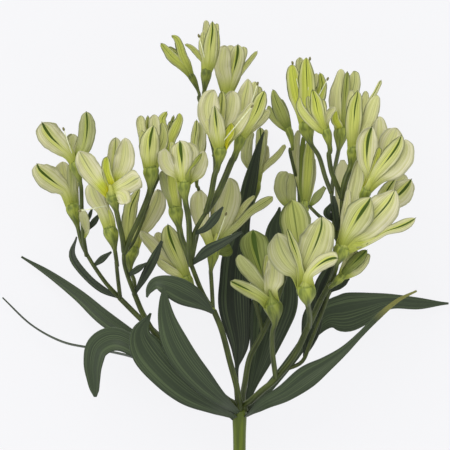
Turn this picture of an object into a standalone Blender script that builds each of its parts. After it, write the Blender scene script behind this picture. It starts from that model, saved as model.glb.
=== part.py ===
"""An alstroemeria stem: one cut stem lying on a surface, with leaves in a whorl and five rays of blooms.

Metres, Z up. The stem runs along Y with its cut end at -Y, and Z points up from the surface.
Plan positions are on a sheet of steps seen from above: x to the right and y downwards. Heights are in mm.
"""

import math

import bmesh
import bpy
import numpy as np
from mathutils import Matrix, Vector

MM = 0.001
STEP = 0.52  # mm for each step of the plan
WHORL = (239.5, 410.0, 36.0)  # plan x, plan y, height: where leaves and rays leave the stem
STEM_LENGTH = 195.0  # from the whorl to the cut end
STEM_RADIUS = 3.2
WHORL_RADIUS = 3.9
BLADE = 0.62  # thickness of petals and leaves
GAP = 0.35  # between pieces that touch in the plant
FOOT_REACH = WHORL_RADIUS + GAP + 0.37  # of a leaf's foot, from the stem's axis
OVARY_LENGTH = 11.5
PEDICEL_RADIUS = 0.85
KEEP_RATIO = 0.808  # of the triangles after a union

# Each stalk: radius at its start and end, then points (plan x, plan y, height).
# The first stalk of a ray starts at the whorl, at the angle given for it round the stem.
RAYS = {
    "ray_a": {
        "angle": 234,
        "stalks": [
            (1.7, 1.4, [(226, 399, 31), (200, 376, 30), (160, 337.5, 27), (139, 318, 26), (119, 298, 25)]),
            (1.2, 1.0, [(120, 299, 25), (106, 284, 27), (94, 267, 28), (86, 254, 28)]),
            (1.1, 1.0, [(120, 300, 25), (117.5, 278, 34), (116, 262, 42)]),
        ],
        "bracts": [
            [(119, 298, 25, 3, 10), (101, 289, 21, 8, 30), (84, 274, 17, 9, 40), (72, 256, 15, 10, 50), (76, 237, 18, 2, 60)],
            [(93, 266, 28, 3, 10), (102, 259, 31, 7, 20), (111, 252, 34, 2, 20)],
        ],
    },
    "ray_b": {
        "angle": 162,
        "stalks": [
            (1.7, 1.4, [(222, 396, 39), (200, 375, 43), (161, 341, 46), (144, 316, 49), (134, 293, 52)]),
            (1.2, 1.0, [(135, 295, 52), (128, 277, 56), (124, 262, 61), (124, 249, 66)]),
        ],
        "bracts": [
            [(134.5, 294, 52, 3, 0), (146, 274, 58, 9, 20), (155, 257, 64, 9, 20), (162, 241, 68, 3, 20)],
            [(127.5, 276, 56, 3, 0), (138, 269, 62, 7, 20), (147, 263, 64, 2, 20)],
        ],
    },
    "ray_c": {
        "angle": 90,
        "stalks": [
            (1.7, 1.5, [(238, 396, 44), (236, 384, 48), (230, 362, 53), (222, 331, 60), (214, 311, 66)]),
            (1.4, 1.2, [(215, 313, 65.5), (203, 294, 71), (191, 264, 76)]),
            (1.2, 1.1, [(191, 266, 76), (193, 248, 79), (194, 234, 81), (200, 222, 83), (207, 211, 84)]),
            (1.0, 0.9, [(205, 214, 83), (213, 184, 66), (215, 164, 58), (213, 148, 54), (209, 134, 51), (204, 117, 49)]),
        ],
        "bracts": [
            [(191, 265, 76, 3, 0), (206, 252, 84, 11, 15), (222, 243, 88, 9, 10), (242, 232, 90, 3, 0)],
            [(194, 234, 81, 3, 0), (206, 228, 88, 7, 10), (215, 218, 92, 9, 10), (223, 207, 94, 2, 10)],
        ],
    },
    "ray_d": {
        "angle": 306,
        "stalks": [
            (1.7, 1.4, [(243, 396, 30), (245, 384, 25), (250, 358, 21), (262, 335, 19), (274, 310, 19), (284, 280, 19)]),
            (1.3, 1.1, [(284, 281, 19), (290, 256, 19), (296, 232, 19), (300, 216, 20)]),
        ],
        "bracts": [],
    },
    "ray_e": {
        "angle": 18,
        "stalks": [
            (1.8, 1.6, [(250, 402, 40), (262, 391, 43), (276, 379, 46), (294, 356, 53), (308, 327, 61), (321, 299, 68)]),
            (1.5, 1.3, [(320, 301, 67.5), (330, 282, 72), (336, 262, 74), (338, 241, 76)]),
            (1.2, 1.0, [(338, 243, 76), (334, 223, 78), (332.5, 205, 79), (331, 192, 79)]),
            (1.2, 1.0, [(338, 243, 76), (341, 220, 80), (341.5, 197, 81)]),
            (1.1, 0.9, [(337, 240, 76), (328, 223, 75), (319, 216, 72), (309, 206, 64)]),
            (1.1, 0.9, [(285, 370, 49), (302, 362, 48), (310, 344, 52), (320, 318, 58), (328, 296, 65), (332, 279, 72)]),
        ],
        "bracts": [
            [(308.5, 347.5, 51, 3, 10), (315, 342, 55, 9, 20), (322, 335, 59, 3, 20)],
            [(333.5, 221, 78, 3, 0), (327, 213, 82, 8, 10), (331, 204, 84, 3, 10)],
            [(309.5, 206.5, 64.3, 3, 0), (317, 197, 66, 9, 20), (325, 187, 66, 4, 20)],
        ],
    },
}

# Each bloom: the ray that carries it, its base, the point that its axis aims at with the rise to it,
# radius and length of its core, ovary radius, its pedicel, then its tepals:
# (tip x, tip y, rise of the tip over the base in mm, width in mm, how far the outer face turns up, kind, sway)
BLOOMS = {
    "bloom_a": {
        "ray": "ray_c", "base": (190, 74, 46), "aim": (176, 50, 2), "core": (2.9, 12), "ovary": 1.9,
        "pedicel": [(205, 119, 49), (200, 106, 48), (196.5, 93, 46.5)],
        "tepals": [
            (160.7, 43.3, 4.5, 7.9, 0.7, "outer", 4), (172, 35, 6, 7.4, 0.6, "outer", -9),
            (164, 46, -7.5, 7.8, -0.7, "outer", 3), (174, 40, -4.5, 5.4, -0.6, "inner", -7),
        ],
    },
    "bloom_b": {
        "ray": "ray_c", "base": (206.5, 70, 58), "aim": (209, 40, 3), "core": (2.6, 10), "ovary": 2.9,
        "pedicel": [(205, 121, 50), (203, 104, 53), (203.5, 92, 55.5)],
        "tepals": [
            (206.6, 22, 1.5, 9.0, -0.6, "outer", 0), (212.5, 22.5, 13.5, 10.3, 0.85, "outer", 0),
            (217.3, 23.4, -6, 7.8, -0.7, "inner", 0), (186, 43.5, 3, 3.7, 0.5, "inner", 2),
            (200, 35, 7.5, 7.8, 0.6, "inner", 2), (219, 37, 1.5, 6.0, 0.4, "inner", -2),
        ],
    },
    "bloom_c": {
        "ray": "ray_c", "base": (227, 93, 28), "aim": (230, 60, -2), "core": (2.2, 7), "ovary": 2.8,
        "pedicel": [(214, 156, 56), (219, 135, 46), (224, 118, 36)],
        "tepals": [
            (223, 44, 7.5, 13.8, 0.8, "outer", 2), (239, 44, 3, 12.0, 0.75, "outer", 0),
            (257, 51, 0, 3.5, 0.4, "inner", -3), (230, 44, -24, 13.2, -0.8, "outer", 0),
            (217, 53, -12, 7.2, -0.6, "inner", 0), (243, 51, -15, 7.2, -0.7, "inner", 0),
        ],
    },
    "bloom_d": {
        "ray": "ray_c", "base": (220.5, 148, 92), "aim": (223, 118, 8), "core": (2.2, 7), "ovary": 3.4,
        "pedicel": [(206, 213, 84), (211, 195, 87), (214.5, 176, 89)],
        "tepals": [
            (208.5, 92, 4.5, 15.6, -0.6, "outer", 5), (222, 92, -4.5, 7.2, -0.8, "inner", 0),
            (231.5, 91, -9, 10.2, -0.8, "outer", 0), (214.7, 107.6, 24, 9.8, 0.75, "outer", -2),
            (252, 105, 15, 7.0, -0.2, "inner", -4), (202, 106, 15, 6.0, -0.5, "inner", 4),
        ],
    },
    "bloom_d2": {
        "ray": "ray_c", "base": (241, 137, 76), "aim": (248, 112, 3), "core": (2.4, 8), "ovary": 2.9,
        "pedicel": [(206, 212, 83.5), (216, 197, 80), (223.5, 180, 77), (230, 162, 75.5)],
        "tepals": [
            (247, 80, 3, 9.6, -0.6, "outer", 2), (256, 82, -9, 10.2, -0.75, "outer", 0),
            (265, 92, 12, 7.9, 0.8, "outer", -3), (269, 106, -3, 5.4, -0.4, "inner", -3),
            (258, 88, -18, 7.2, -0.7, "inner", -2),
        ],
    },
    "bloom_e": {
        "ray": "ray_a", "base": (74.5, 162, 44), "aim": (68, 140, 2), "core": (2.2, 8), "ovary": 2.7,
        "pedicel": [(86, 256, 28), (83, 236, 34), (81.5, 212, 39), (81, 190, 42)],
        "tepals": [
            (42, 122, 15, 15.1, 0.75, "outer", 5), (86, 111.5, 3, 10.3, 0.6, "outer", 1),
            (70, 134, -18, 7.2, -0.6, "inner", 0), (59, 136, -12, 8.4, -0.6, "outer", 0),
            (84, 128, -12, 6.0, -0.5, "inner", 0),
        ],
    },
    "bloom_f": {
        "ray": "ray_a", "base": (71.5, 205, 22), "aim": (66, 184, 0), "core": (2.55, 9.5), "ovary": 3.2,
        "pedicel": [(87, 256, 27.5), (81, 243, 24)],
        "tepals": [
            (38.5, 165, 12, 15.6, 0.75, "outer", 5), (63, 161, -7.5, 9.6, -0.75, "outer", 0),
            (69, 165, 12, 4.6, 0.5, "inner", 0), (52, 172, -18, 7.2, -0.6, "inner", 0),
            (74, 174, -21, 7.8, -0.6, "outer", 0),
        ],
    },
    "bloom_g": {
        "ray": "ray_b", "base": (112.5, 194, 79), "aim": (108, 176, 9), "core": (2.3, 7), "ovary": 3.7,
        "pedicel": [(124, 252, 65), (122.5, 238, 70), (119, 222, 74)],
        "tepals": [
            (79.5, 154, 9, 11.5, -0.65, "outer", 2), (116, 139, 0, 6.7, -0.8, "inner", 2),
            (126, 140, 4.5, 9.6, -0.7, "outer", -2), (141, 177, 16.5, 10.3, -0.6, "inner", 1),
            (125.5, 204.5, 21, 8.4, -0.7, "outer", 0), (106.5, 157, 6, 5.3, -0.7, "inner", 0),
        ],
    },
    "bloom_g2": {
        "ray": "ray_a", "base": (108, 224, 56), "aim": (102, 206, 2), "core": (2.6, 11), "ovary": 3.4,
        "pedicel": [(116.5, 264, 41), (113.5, 250, 48)],
        "tepals": [
            (89, 203, 9, 8.4, 0.6, "outer", 0), (97, 190, 4.5, 7.2, 0.7, "inner", 0),
            (103, 188, -6, 7.2, -0.6, "outer", 0), (93, 197, -9, 7.2, -0.6, "inner", 0),
        ],
    },
    "bloom_h": {
        "ray": "ray_b", "base": (151, 168, 82), "aim": (150, 142, 4), "core": (3.0, 12), "ovary": 3.5,
        "pedicel": [(124.5, 253, 65), (130, 238, 69), (139, 219, 74), (147, 200, 78)],
        "tepals": [
            (142, 116, -6, 9.0, -0.75, "outer", 2), (148, 117, -13.5, 7.2, -0.8, "inner", 0),
            (154, 115, -9, 9.0, -0.75, "outer", 0), (157, 123, 13.5, 11.4, 0.85, "outer", -1),
            (141, 129, 7.5, 7.8, 0.6, "inner", 3), (163, 130, 4.5, 6.0, 0.4, "inner", -2),
        ],
    },
    "bloom_i": {
        "ray": "ray_b", "base": (169, 150, 49), "aim": (171, 132, 1), "core": (2.6, 9), "ovary": 2.1,
        "pedicel": [(124.5, 254, 63), (136, 237, 59), (147, 217, 54), (157, 195, 49), (165, 176, 48)],
        "tepals": [
            (166.5, 112, 3, 5.5, 0.6, "outer", 9), (179.5, 113, 4.5, 6.7, 0.7, "outer", -7),
            (173, 118, -6, 4.8, -0.6, "inner", 0), (172, 122, -12, 6.6, -0.75, "outer", 0),
        ],
    },
    "bloom_j": {
        "ray": "ray_c", "base": (184, 182, 90), "aim": (183, 160, 6), "core": (2.6, 8), "ovary": 3.5,
        "pedicel": [(191, 266, 76), (189.5, 246, 80), (189, 222, 84)],
        "tepals": [
            (163.5, 150, 16.5, 8.2, -0.6, "inner", 5), (172, 142, -4.5, 6.0, -0.7, "inner", 0),
            (184.5, 140.5, 13.5, 15.8, 0.85, "outer", -2), (204, 151.5, 1.5, 10.3, -0.7, "outer", -4),
            (201, 156, 16.5, 4.6, 0.4, "inner", -2), (177, 147, -18, 9.6, -0.8, "outer", 0),
        ],
    },
    "bloom_j2": {
        "ray": "ray_c", "base": (197, 164, 50), "aim": (198.5, 144, 0), "core": (2.3, 8), "ovary": 2.4,
        "pedicel": [(194, 236, 80), (196, 216, 68), (197, 196, 58)],
        "tepals": [
            (195.5, 120, 4.5, 6.0, 0.7, "outer", 1), (202, 131, 1.5, 8, 0.7, "outer", -2),
            (199, 128, -13.5, 7.2, -0.75, "outer", 0), (205, 147, -6, 5.3, -0.4, "inner", 0),
        ],
    },
    "bloom_k": {
        "ray": "ray_c", "base": (175, 208, 66), "aim": (171, 190, 1), "core": (2.7, 11), "ovary": 3.3,
        "pedicel": [(191, 265, 75.5), (187, 249, 71), (182, 236, 67)],
        "tepals": [
            (160.5, 172, 4.5, 7.2, 0.7, "outer", 0), (172, 169, 4.5, 8.4, 0.8, "outer", 0),
            (166, 170, -10.5, 8.4, -0.8, "outer", 0), (180, 177, -6, 5.3, -0.5, "inner", 0),
        ],
    },
    "bloom_l": {
        "ray": "ray_d", "base": (288, 128, 46), "aim": (281, 108, 1), "core": (4.0, 17), "ovary": 1.9,
        "pedicel": [(299.8, 218, 20), (299, 190, 29), (294.5, 170, 36), (290, 150, 43)],
        "tepals": [
            (273, 89, 1.5, 10.6, 0.85, "outer", 0), (284.5, 101, -1.5, 6.5, 0.4, "outer", -3),
            (268.5, 104, 1.5, 5.8, 0.4, "inner", 3), (275, 92, -7.5, 10.1, -0.85, "outer", 0),
        ],
    },
    "bloom_l2": {
        "ray": "ray_b", "base": (131, 244, 42), "aim": (139, 222, 1), "core": (2.6, 10), "ovary": 3.6,
        "pedicel": [(134.5, 294, 51.5), (134, 281, 47)],
        "tepals": [
            (139, 189, 6, 9.1, 0.8, "outer", 3), (160, 189, 3, 12.7, 0.75, "outer", -2),
            (150, 195, -13.5, 9.6, -0.75, "outer", 0), (127, 207, -9, 6.0, -0.5, "inner", 2),
            (149, 203, 6, 4.8, 0.5, "inner", 0),
        ],
    },
    "bloom_m": {
        "ray": "ray_e", "base": (306.5, 123, 62), "aim": (304, 96, 3), "core": (3.0, 11), "ovary": 3.5,
        "pedicel": [(331, 193, 79), (325, 177, 76), (319, 157, 71)],
        "tepals": [
            (290, 64, 3, 10.6, 0.7, "outer", 4), (300, 57, -9, 8.4, -0.75, "inner", 0),
            (306.5, 58, 12, 11.5, 0.85, "outer", 0), (321, 75, 1.5, 8.9, 0.5, "outer", -3),
            (314, 73, -12, 9.6, -0.75, "outer", 0), (325.5, 88, -3, 5.3, 0.3, "inner", -3),
        ],
    },
    "bloom_m2": {
        "ray": "ray_c", "base": (186, 277, 50), "aim": (177, 256, 2), "core": (2.6, 9), "ovary": 2.9,
        "pedicel": [(208, 304, 69), (202, 298, 60)],
        "tepals": [
            (168, 225, 9, 12.7, 0.8, "outer", 2), (142, 233, -3, 8.4, -0.65, "outer", 3),
            (158, 261, 4.5, 6.5, 0.5, "inner", 1), (154, 231, -12, 9.6, -0.75, "outer", 0),
            (176.5, 233, 3, 5.3, 0.4, "inner", -1),
        ],
    },
    "bloom_n": {
        "ray": "ray_e", "base": (325, 130, 88), "aim": (319, 112, 3), "core": (2.5, 8), "ovary": 2.5,
        "pedicel": [(341.5, 198, 81), (336, 184, 82), (331, 171, 83.5), (328.5, 155, 85)],
        "tepals": [
            (299.4, 97.4, 10.5, 7.0, 0.6, "inner", 6), (312.4, 90.4, 13.5, 10.6, 0.85, "outer", 0),
            (335.5, 107.5, 0, 6.2, -0.6, "inner", -2), (321, 100, -12, 9.0, -0.8, "outer", 0),
            (306, 97, -6, 6.0, -0.7, "outer", 2),
        ],
    },
    "bloom_n2": {
        "ray": "ray_c", "base": (214, 250, 46), "aim": (218, 228, -1), "core": (2.6, 9), "ovary": 3.0,
        "pedicel": [(213, 309, 68), (212, 291, 58), (211, 275, 51)],
        "tepals": [
            (202, 190, -3, 12.0, 0.75, "outer", 3), (229.5, 178, -6, 15.0, -0.75, "outer", -2),
            (272, 197, 3, 6.5, 0.6, "inner", -2), (254.5, 196, -6, 4.6, -0.5, "inner", -1),
            (217, 189, -18, 8.4, -0.75, "inner", 0), (233, 246, -15, 6.7, -0.6, "outer", -2),
        ],
    },
    "bloom_o": {
        "ray": "ray_e", "base": (341.5, 129, 40), "aim": (344, 104, -1), "core": (2.8, 10), "ovary": 3.0,
        "pedicel": [(331.5, 194, 78.5), (333, 180, 66), (336, 163, 53)],
        "tepals": [
            (342.5, 68, 3, 13.2, 0.75, "outer", 4), (355.5, 71, -3, 10.8, 0.6, "outer", -1),
            (332, 110, 7.5, 5.5, 0.6, "inner", 1), (349, 70, -16.5, 10.8, -0.75, "outer", 0),
            (336, 82, -12, 7.2, -0.6, "inner", 0),
        ],
    },
    "bloom_p": {
        "ray": "ray_e", "base": (353.5, 148, 83), "aim": (356, 124, 4), "core": (2.7, 9), "ovary": 2.9,
        "pedicel": [(341.5, 199, 81), (345, 181, 83)],
        "tepals": [
            (356.8, 92, 12, 11.5, 0.85, "outer", 0), (378.5, 97, 6, 10.3, 0.6, "outer", -4),
            (380.5, 81, -4.5, 3.3, 0.2, "inner", -2), (351, 91, -10.5, 8.4, -0.75, "outer", 1),
            (366, 92, -7.5, 7.2, -0.7, "inner", 0),
        ],
    },
    "bloom_q": {
        "ray": "ray_e", "base": (366, 190, 95), "aim": (374, 168, 7), "core": (2.4, 8), "ovary": 2.9,
        "pedicel": [(337, 258, 74), (346, 237, 76), (357, 213, 82)],
        "tepals": [
            (369, 126, 0, 10.6, -0.7, "inner", 3), (381, 117, -12, 9.6, -0.8, "outer", 0),
            (396, 129, -7.5, 10.3, -0.75, "inner", 0), (404.5, 142, 16.5, 13.8, 0.7, "outer", -2),
            (384, 134, 6, 5.4, -0.7, "inner", 0),
        ],
    },
    "bloom_r": {
        "ray": "ray_e", "base": (373, 214, 46), "aim": (386, 200, 1), "core": (2.4, 8), "ovary": 2.7,
        "pedicel": [(335, 266, 73), (343, 250, 63), (355, 234, 53)],
        "tepals": [
            (395, 179, 4.5, 10.8, 0.7, "outer", 2), (411.5, 182, 1.5, 12.6, 0.7, "outer", -1),
            (403, 175, -12, 9.6, -0.75, "outer", 0), (392, 190, 7.5, 6.7, 0.5, "inner", 0),
            (404, 206, -9, 6.0, -0.5, "inner", 0),
        ],
    },
    "bloom_s": {
        "ray": "ray_e", "base": (341, 243.5, 97), "aim": (350, 226, 5), "core": (2.4, 8), "ovary": 2.9,
        "pedicel": [(331, 281, 72), (335, 270, 82)],
        "tepals": [
            (356.5, 159, -8, 10.3, -0.75, "outer", 2), (369, 199.5, 15, 15.0, 0.85, "outer", 2),
            (397, 200, 7.5, 16.2, 0.75, "outer", -2), (414, 218, 3, 7.4, 0.6, "inner", -3),
            (346, 194, 0, 9.6, -0.7, "inner", 3), (368, 241, 3, 5.3, 0.4, "inner", 0),
        ],
    },
    "bloom_tf": {
        "ray": "ray_e", "base": (303, 282, 96), "aim": (302, 258, 6), "core": (2.5, 7.7), "ovary": 3.2,
        "pedicel": [(309, 325, 62), (308.5, 312, 75), (306.5, 303, 86)],
        "tepals": [
            (292.5, 200.5, -4.5, 19.8, -0.8, "outer", 0), (272.5, 236, 9, 14.4, -0.65, "outer", 6),
            (286.5, 229, 6, 5.8, -0.7, "inner", 0), (321, 217.5, 9, 16.2, -0.65, "outer", -4),
            (337.5, 258.5, 18, 8.4, 0.4, "inner", -4), (309, 233, 3, 5.5, -0.7, "inner", 0),
        ],
    },
    "bloom_tl": {
        "ray": "ray_e", "base": (271, 298.5, 84), "aim": (265, 274, 5), "core": (2.4, 8), "ovary": 3.7,
        "pedicel": [(276, 379, 46), (272.5, 352, 64), (272.5, 332, 76)],
        "tepals": [
            (252.5, 229.5, -4.5, 18.6, -0.75, "outer", 1), (238, 255.5, 9, 7.2, -0.5, "inner", 2),
            (232, 279.5, 18, 7.2, -0.4, "outer", 4), (279, 267, 12, 10.3, -0.55, "outer", -4),
            (267, 243, 0, 7.2, -0.7, "inner", 0),
        ],
    },
    "bloom_u": {
        "ray": "ray_d", "base": (293, 206, 17.6), "aim": (289, 190, -1), "core": (2.4, 8), "ovary": 2.6,
        "pedicel": [(297.5, 229, 19)],
        "tepals": [
            (283, 171, 1.5, 10.8, 0.7, "outer", 2), (292.5, 172, 6, 10.8, 0.8, "outer", 0),
            (279, 182, -9, 8.4, -0.6, "inner", 1), (290, 173, -16.5, 10.8, -0.75, "outer", 0),
        ],
    },
    "bloom_u2": {
        "ray": "ray_d", "base": (305.5, 202, 37), "aim": (307.5, 172, 1), "core": (2.8, 20), "ovary": 2.2,
        "pedicel": [(299.5, 219, 20)],
        "tepals": [
            (311, 137, 4.5, 8.2, 0.85, "outer", 0), (307, 140, 0, 5.5, 0.4, "inner", 2),
            (310, 138, -9, 7.7, -0.85, "outer", 0), (315, 158, -1.5, 5.5, 0.3, "inner", -2),
        ],
    },
    "bloom_v": {
        "ray": "ray_e", "base": (343, 274.5, 82), "aim": (353, 264, 3), "core": (2.4, 7), "ovary": 2.4,
        "pedicel": [(328, 286, 71), (333, 283, 77)],
        "tepals": [
            (367, 250, 6, 11.3, 0.85, "outer", 0), (365, 262, -3, 7.2, 0.3, "outer", -3),
            (362, 256, -12, 9.6, -0.75, "outer", 0), (356, 252, 0, 6.0, 0.4, "inner", 2),
        ],
    },
    "bloom_w": {
        "ray": "ray_d", "base": (257, 182, 6.5), "aim": (258, 160, 1), "core": (2.0, 7), "ovary": 2.2,
        "pedicel": [
            (263, 333, 19.5), (258, 312, 17), (253.5, 294, 13), (253.7, 280, 8), (255.5, 266, 3.8),
            (254, 250, 2.4), (251.5, 230, 2.2), (251, 214, 3), (254, 197, 5),
        ],
        "tepals": [
            (252, 131, 1, 4.7, 0.5, "outer", 5), (262, 128, 2.5, 5.4, 0.7, "outer", 0),
            (267, 146, -1, 4.0, -0.5, "inner", -1), (286, 142, 1, 3.6, 0.4, "inner", 1),
        ],
    },
}

# The foot of each whorl leaf on the stem: angle round the stem, plan y and roll
LEAF_FEET = {
    "leaf_1": (212, 414, 122), "leaf_2": (186, 420, 96), "leaf_3": (160, 414, 70), "leaf_4": (130, 418, 40),
    "leaf_5": (103, 413, 13), "leaf_6": (262, 414, -8), "leaf_7": (293, 417, 23), "leaf_8": (334, 413.5, 64),
    "leaf_9": (22, 417, -68),
}

# Each leaf: points (plan x, plan y, height in mm, width in steps, roll in degrees), from its foot to its tip
LEAVES = {
    "leaf_1": [
        (205, 395, 27, 10, 55), (170, 371, 22, 13, 75), (132, 357, 18, 13, 80),
        (96, 349, 14, 12, 80), (62, 342, 11, 10, 80), (30, 325, 7, 7, 78), (1, 298, 4, 2, 70),
    ],
    "leaf_2": [
        (205, 398, 36, 9, 10), (165, 362, 29, 12, 10), (130, 337, 23, 15, 10),
        (102, 317, 18, 16, 10), (78, 296, 13, 12, 10), (48, 274, 8, 7, 10), (20, 257, 4, 2, 10),
    ],
    "leaf_3": [
        (205, 399, 49, 9, 10), (165, 372, 55, 14, 10), (134, 347, 55, 19, 10),
        (114, 339, 53, 24, 0), (98, 347, 48, 25, -20), (93, 364, 42, 22, -30), (93, 381, 38, 13, -30),
        (95, 397, 36, 2, -30),
    ],
    "leaf_4": [
        (213, 407, 56, 14, 10), (188, 392, 64, 27, 5), (165, 372, 69, 32, 0),
        (147, 350, 72, 33, 0), (141, 332, 75, 20, -10), (151, 313, 78, 2, -20),
    ],
    "leaf_5": [
        (222, 400, 57, 13, -15), (204, 383, 67, 23, -10), (186, 361, 76, 27, 0),
        (174, 340, 82, 26, 0), (167, 318, 85, 18, 10), (164.5, 300, 88, 10, 10), (164, 286, 90, 2, 10),
    ],
    "leaf_6": [
        (237, 386, 18, 6, 0), (237.5, 368, 10, 8, 0), (238, 342, 5, 25, 5),
        (234.5, 308, 3.5, 32, 5), (235, 278, 3, 31, 0), (241, 248, 5, 27, 0), (246, 216, 8, 21, 0),
        (250, 186, 11, 15, 0), (256.5, 158, 13, 9, 0), (264, 132, 14, 2, 0),
    ],
    "leaf_7": [
        (252, 388, 20, 9, 0), (261.5, 358, 12, 24, 0), (270.5, 322, 9, 42, 0), (275.5, 302, 9, 46, 0),
        (278, 282, 9, 39, 0), (282, 256, 10, 30, 0), (283, 232, 12, 16, 0), (280, 207, 14, 2, 0),
    ],
    "leaf_8": [
        (264, 394, 32, 9, 0), (288, 365, 31, 10, 0), (308, 338, 31, 12, 0),
        (326, 317, 31, 26, 0), (346, 313, 30, 39, 0), (366, 308, 27, 31, 5), (390, 302, 20, 16, 10),
        (420, 304, 11, 12, 10), (450, 304, 3, 2, 0),
    ],
    "leaf_9": [
        (264, 404, 46, 12, 5), (285, 393, 51, 18, 5), (307, 377, 55, 23, 5),
        (327, 363.5, 57, 15, 0), (344, 350.5, 57, 9, 0), (360, 335, 55, 6, 0), (378, 317, 52, 6, 0),
        (398, 300.5, 49, 4, 0), (417, 291, 46, 2, 0),
    ],
    "leaf_10": [
        (213, 312.5, 68.4, 4, 20), (199, 301, 77, 17, 10), (185, 293, 83, 25, 10), (170, 286, 86, 22, 0),
        (157, 283, 86, 13, -10), (150, 289, 84, 8, -20), (147, 297, 82, 2, -30),
    ],
}


def clear_scene():
    for obj in list(bpy.data.objects):
        bpy.data.objects.remove(obj, do_unlink=True)


def make_collection(name, hidden=False):
    """A new collection in the scene."""
    group = bpy.data.collections.new(name)
    group.hide_render = hidden
    bpy.context.scene.collection.children.link(group)
    return group


def make_material(name, color, roughness):
    """A plain material."""
    material = bpy.data.materials.new(name)
    material.use_nodes = True
    shader = material.node_tree.nodes["Principled BSDF"]
    shader.inputs["Base Color"].default_value = (*color, 1.0)
    shader.inputs["Roughness"].default_value = roughness
    return material


def spot(x, y, height):
    """A plan position and a height as a point in mm, from the whorl's place on the sheet."""
    return np.array([(x - WHORL[0]) * STEP, (WHORL[1] - y) * STEP, height])


def unit(vector):
    length = np.linalg.norm(vector)
    return vector / length if length > 1e-9 else np.array([0.0, 0.0, 1.0])


def smooth_path(points, count):
    """Points evenly along a smooth line through the given ones. Each row may carry further values."""
    points = np.array(points, float)
    if len(points) == 2:
        return points[0] + np.linspace(0, 1, count)[:, None] * (points[1] - points[0])
    ends = np.vstack([2 * points[0] - points[1], points, 2 * points[-1] - points[-2]])
    fine = []
    for i in range(1, len(ends) - 2):
        a, b, c, d = ends[i - 1 : i + 3]
        for t in np.linspace(0, 1, 12, endpoint=False):
            fine.append(
                0.5 * (2 * b + (c - a) * t + (2 * a - 5 * b + 4 * c - d) * t**2 + (3 * b - a - 3 * c + d) * t**3)
            )
    fine.append(points[-1])
    fine = np.array(fine)
    along = np.concatenate([[0], np.cumsum(np.linalg.norm(np.diff(fine[:, :3], axis=0), axis=1))])
    wanted = np.linspace(0, along[-1], count)
    return np.stack([np.interp(wanted, along, fine[:, k]) for k in range(fine.shape[1])], axis=1)


def rod(group, rows, sides=1):
    """A round rod along rows of x, y, z and radius in mm, as a closed mesh."""
    curve = bpy.data.curves.new("rod", "CURVE")
    curve.dimensions = "3D"
    curve.bevel_depth = MM
    curve.bevel_resolution = sides
    curve.use_fill_caps = True
    spline = curve.splines.new("POLY")
    spline.points.add(len(rows) - 1)
    for point, (x, y, z, radius) in zip(spline.points, rows):
        point.co = (x * MM, y * MM, z * MM, 1)
        point.radius = radius
    holder = bpy.data.objects.new("rod_curve", curve)
    group.objects.link(holder)
    graph = bpy.context.evaluated_depsgraph_get()
    mesh = bpy.data.meshes.new_from_object(holder.evaluated_get(graph))
    obj = bpy.data.objects.new("rod", mesh)
    obj.matrix_world = holder.matrix_world.copy()
    group.objects.link(obj)
    bpy.data.objects.remove(holder, do_unlink=True)
    work = bmesh.new()
    work.from_mesh(mesh)
    bmesh.ops.remove_doubles(work, verts=work.verts, dist=1e-6)
    bmesh.ops.triangulate(work, faces=work.faces)
    bmesh.ops.recalc_face_normals(work, faces=work.faces)
    work.to_mesh(mesh)
    work.free()
    return obj


def blade(group, across, along, place):
    """A thin sheet: a grid whose points go where place(v, s) says, v from -1 to 1 and s from 0 to 1, made solid."""
    mesh = bpy.data.meshes.new("blade")
    work = bmesh.new()
    bmesh.ops.create_grid(work, x_segments=across, y_segments=along, size=1)
    for vert in work.verts:
        vert.co = Vector(place(vert.co.x, (vert.co.y + 1) / 2)) * MM
    bmesh.ops.triangulate(work, faces=work.faces)
    work.to_mesh(mesh)
    work.free()
    obj = bpy.data.objects.new("blade", mesh)
    group.objects.link(obj)
    solid = obj.modifiers.new("thick", "SOLIDIFY")
    solid.thickness = BLADE * MM
    solid.offset = 0
    graph = bpy.context.evaluated_depsgraph_get()
    done = bpy.data.meshes.new_from_object(obj.evaluated_get(graph))
    obj.modifiers.clear()
    obj.data = done
    return obj


def profile(s, stops):
    """The value at s along rows of (s, value)."""
    return float(np.interp(s, [row[0] for row in stops], [row[1] for row in stops]))


TEPAL_SHAPES = {
    "outer": [(0, 0.2), (0.35, 0.66), (0.7, 1.0), (1, 0.46)],
    "inner": [(0, 0.3), (0.35, 0.66), (0.7, 1.0), (1, 0.5)],
}


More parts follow.
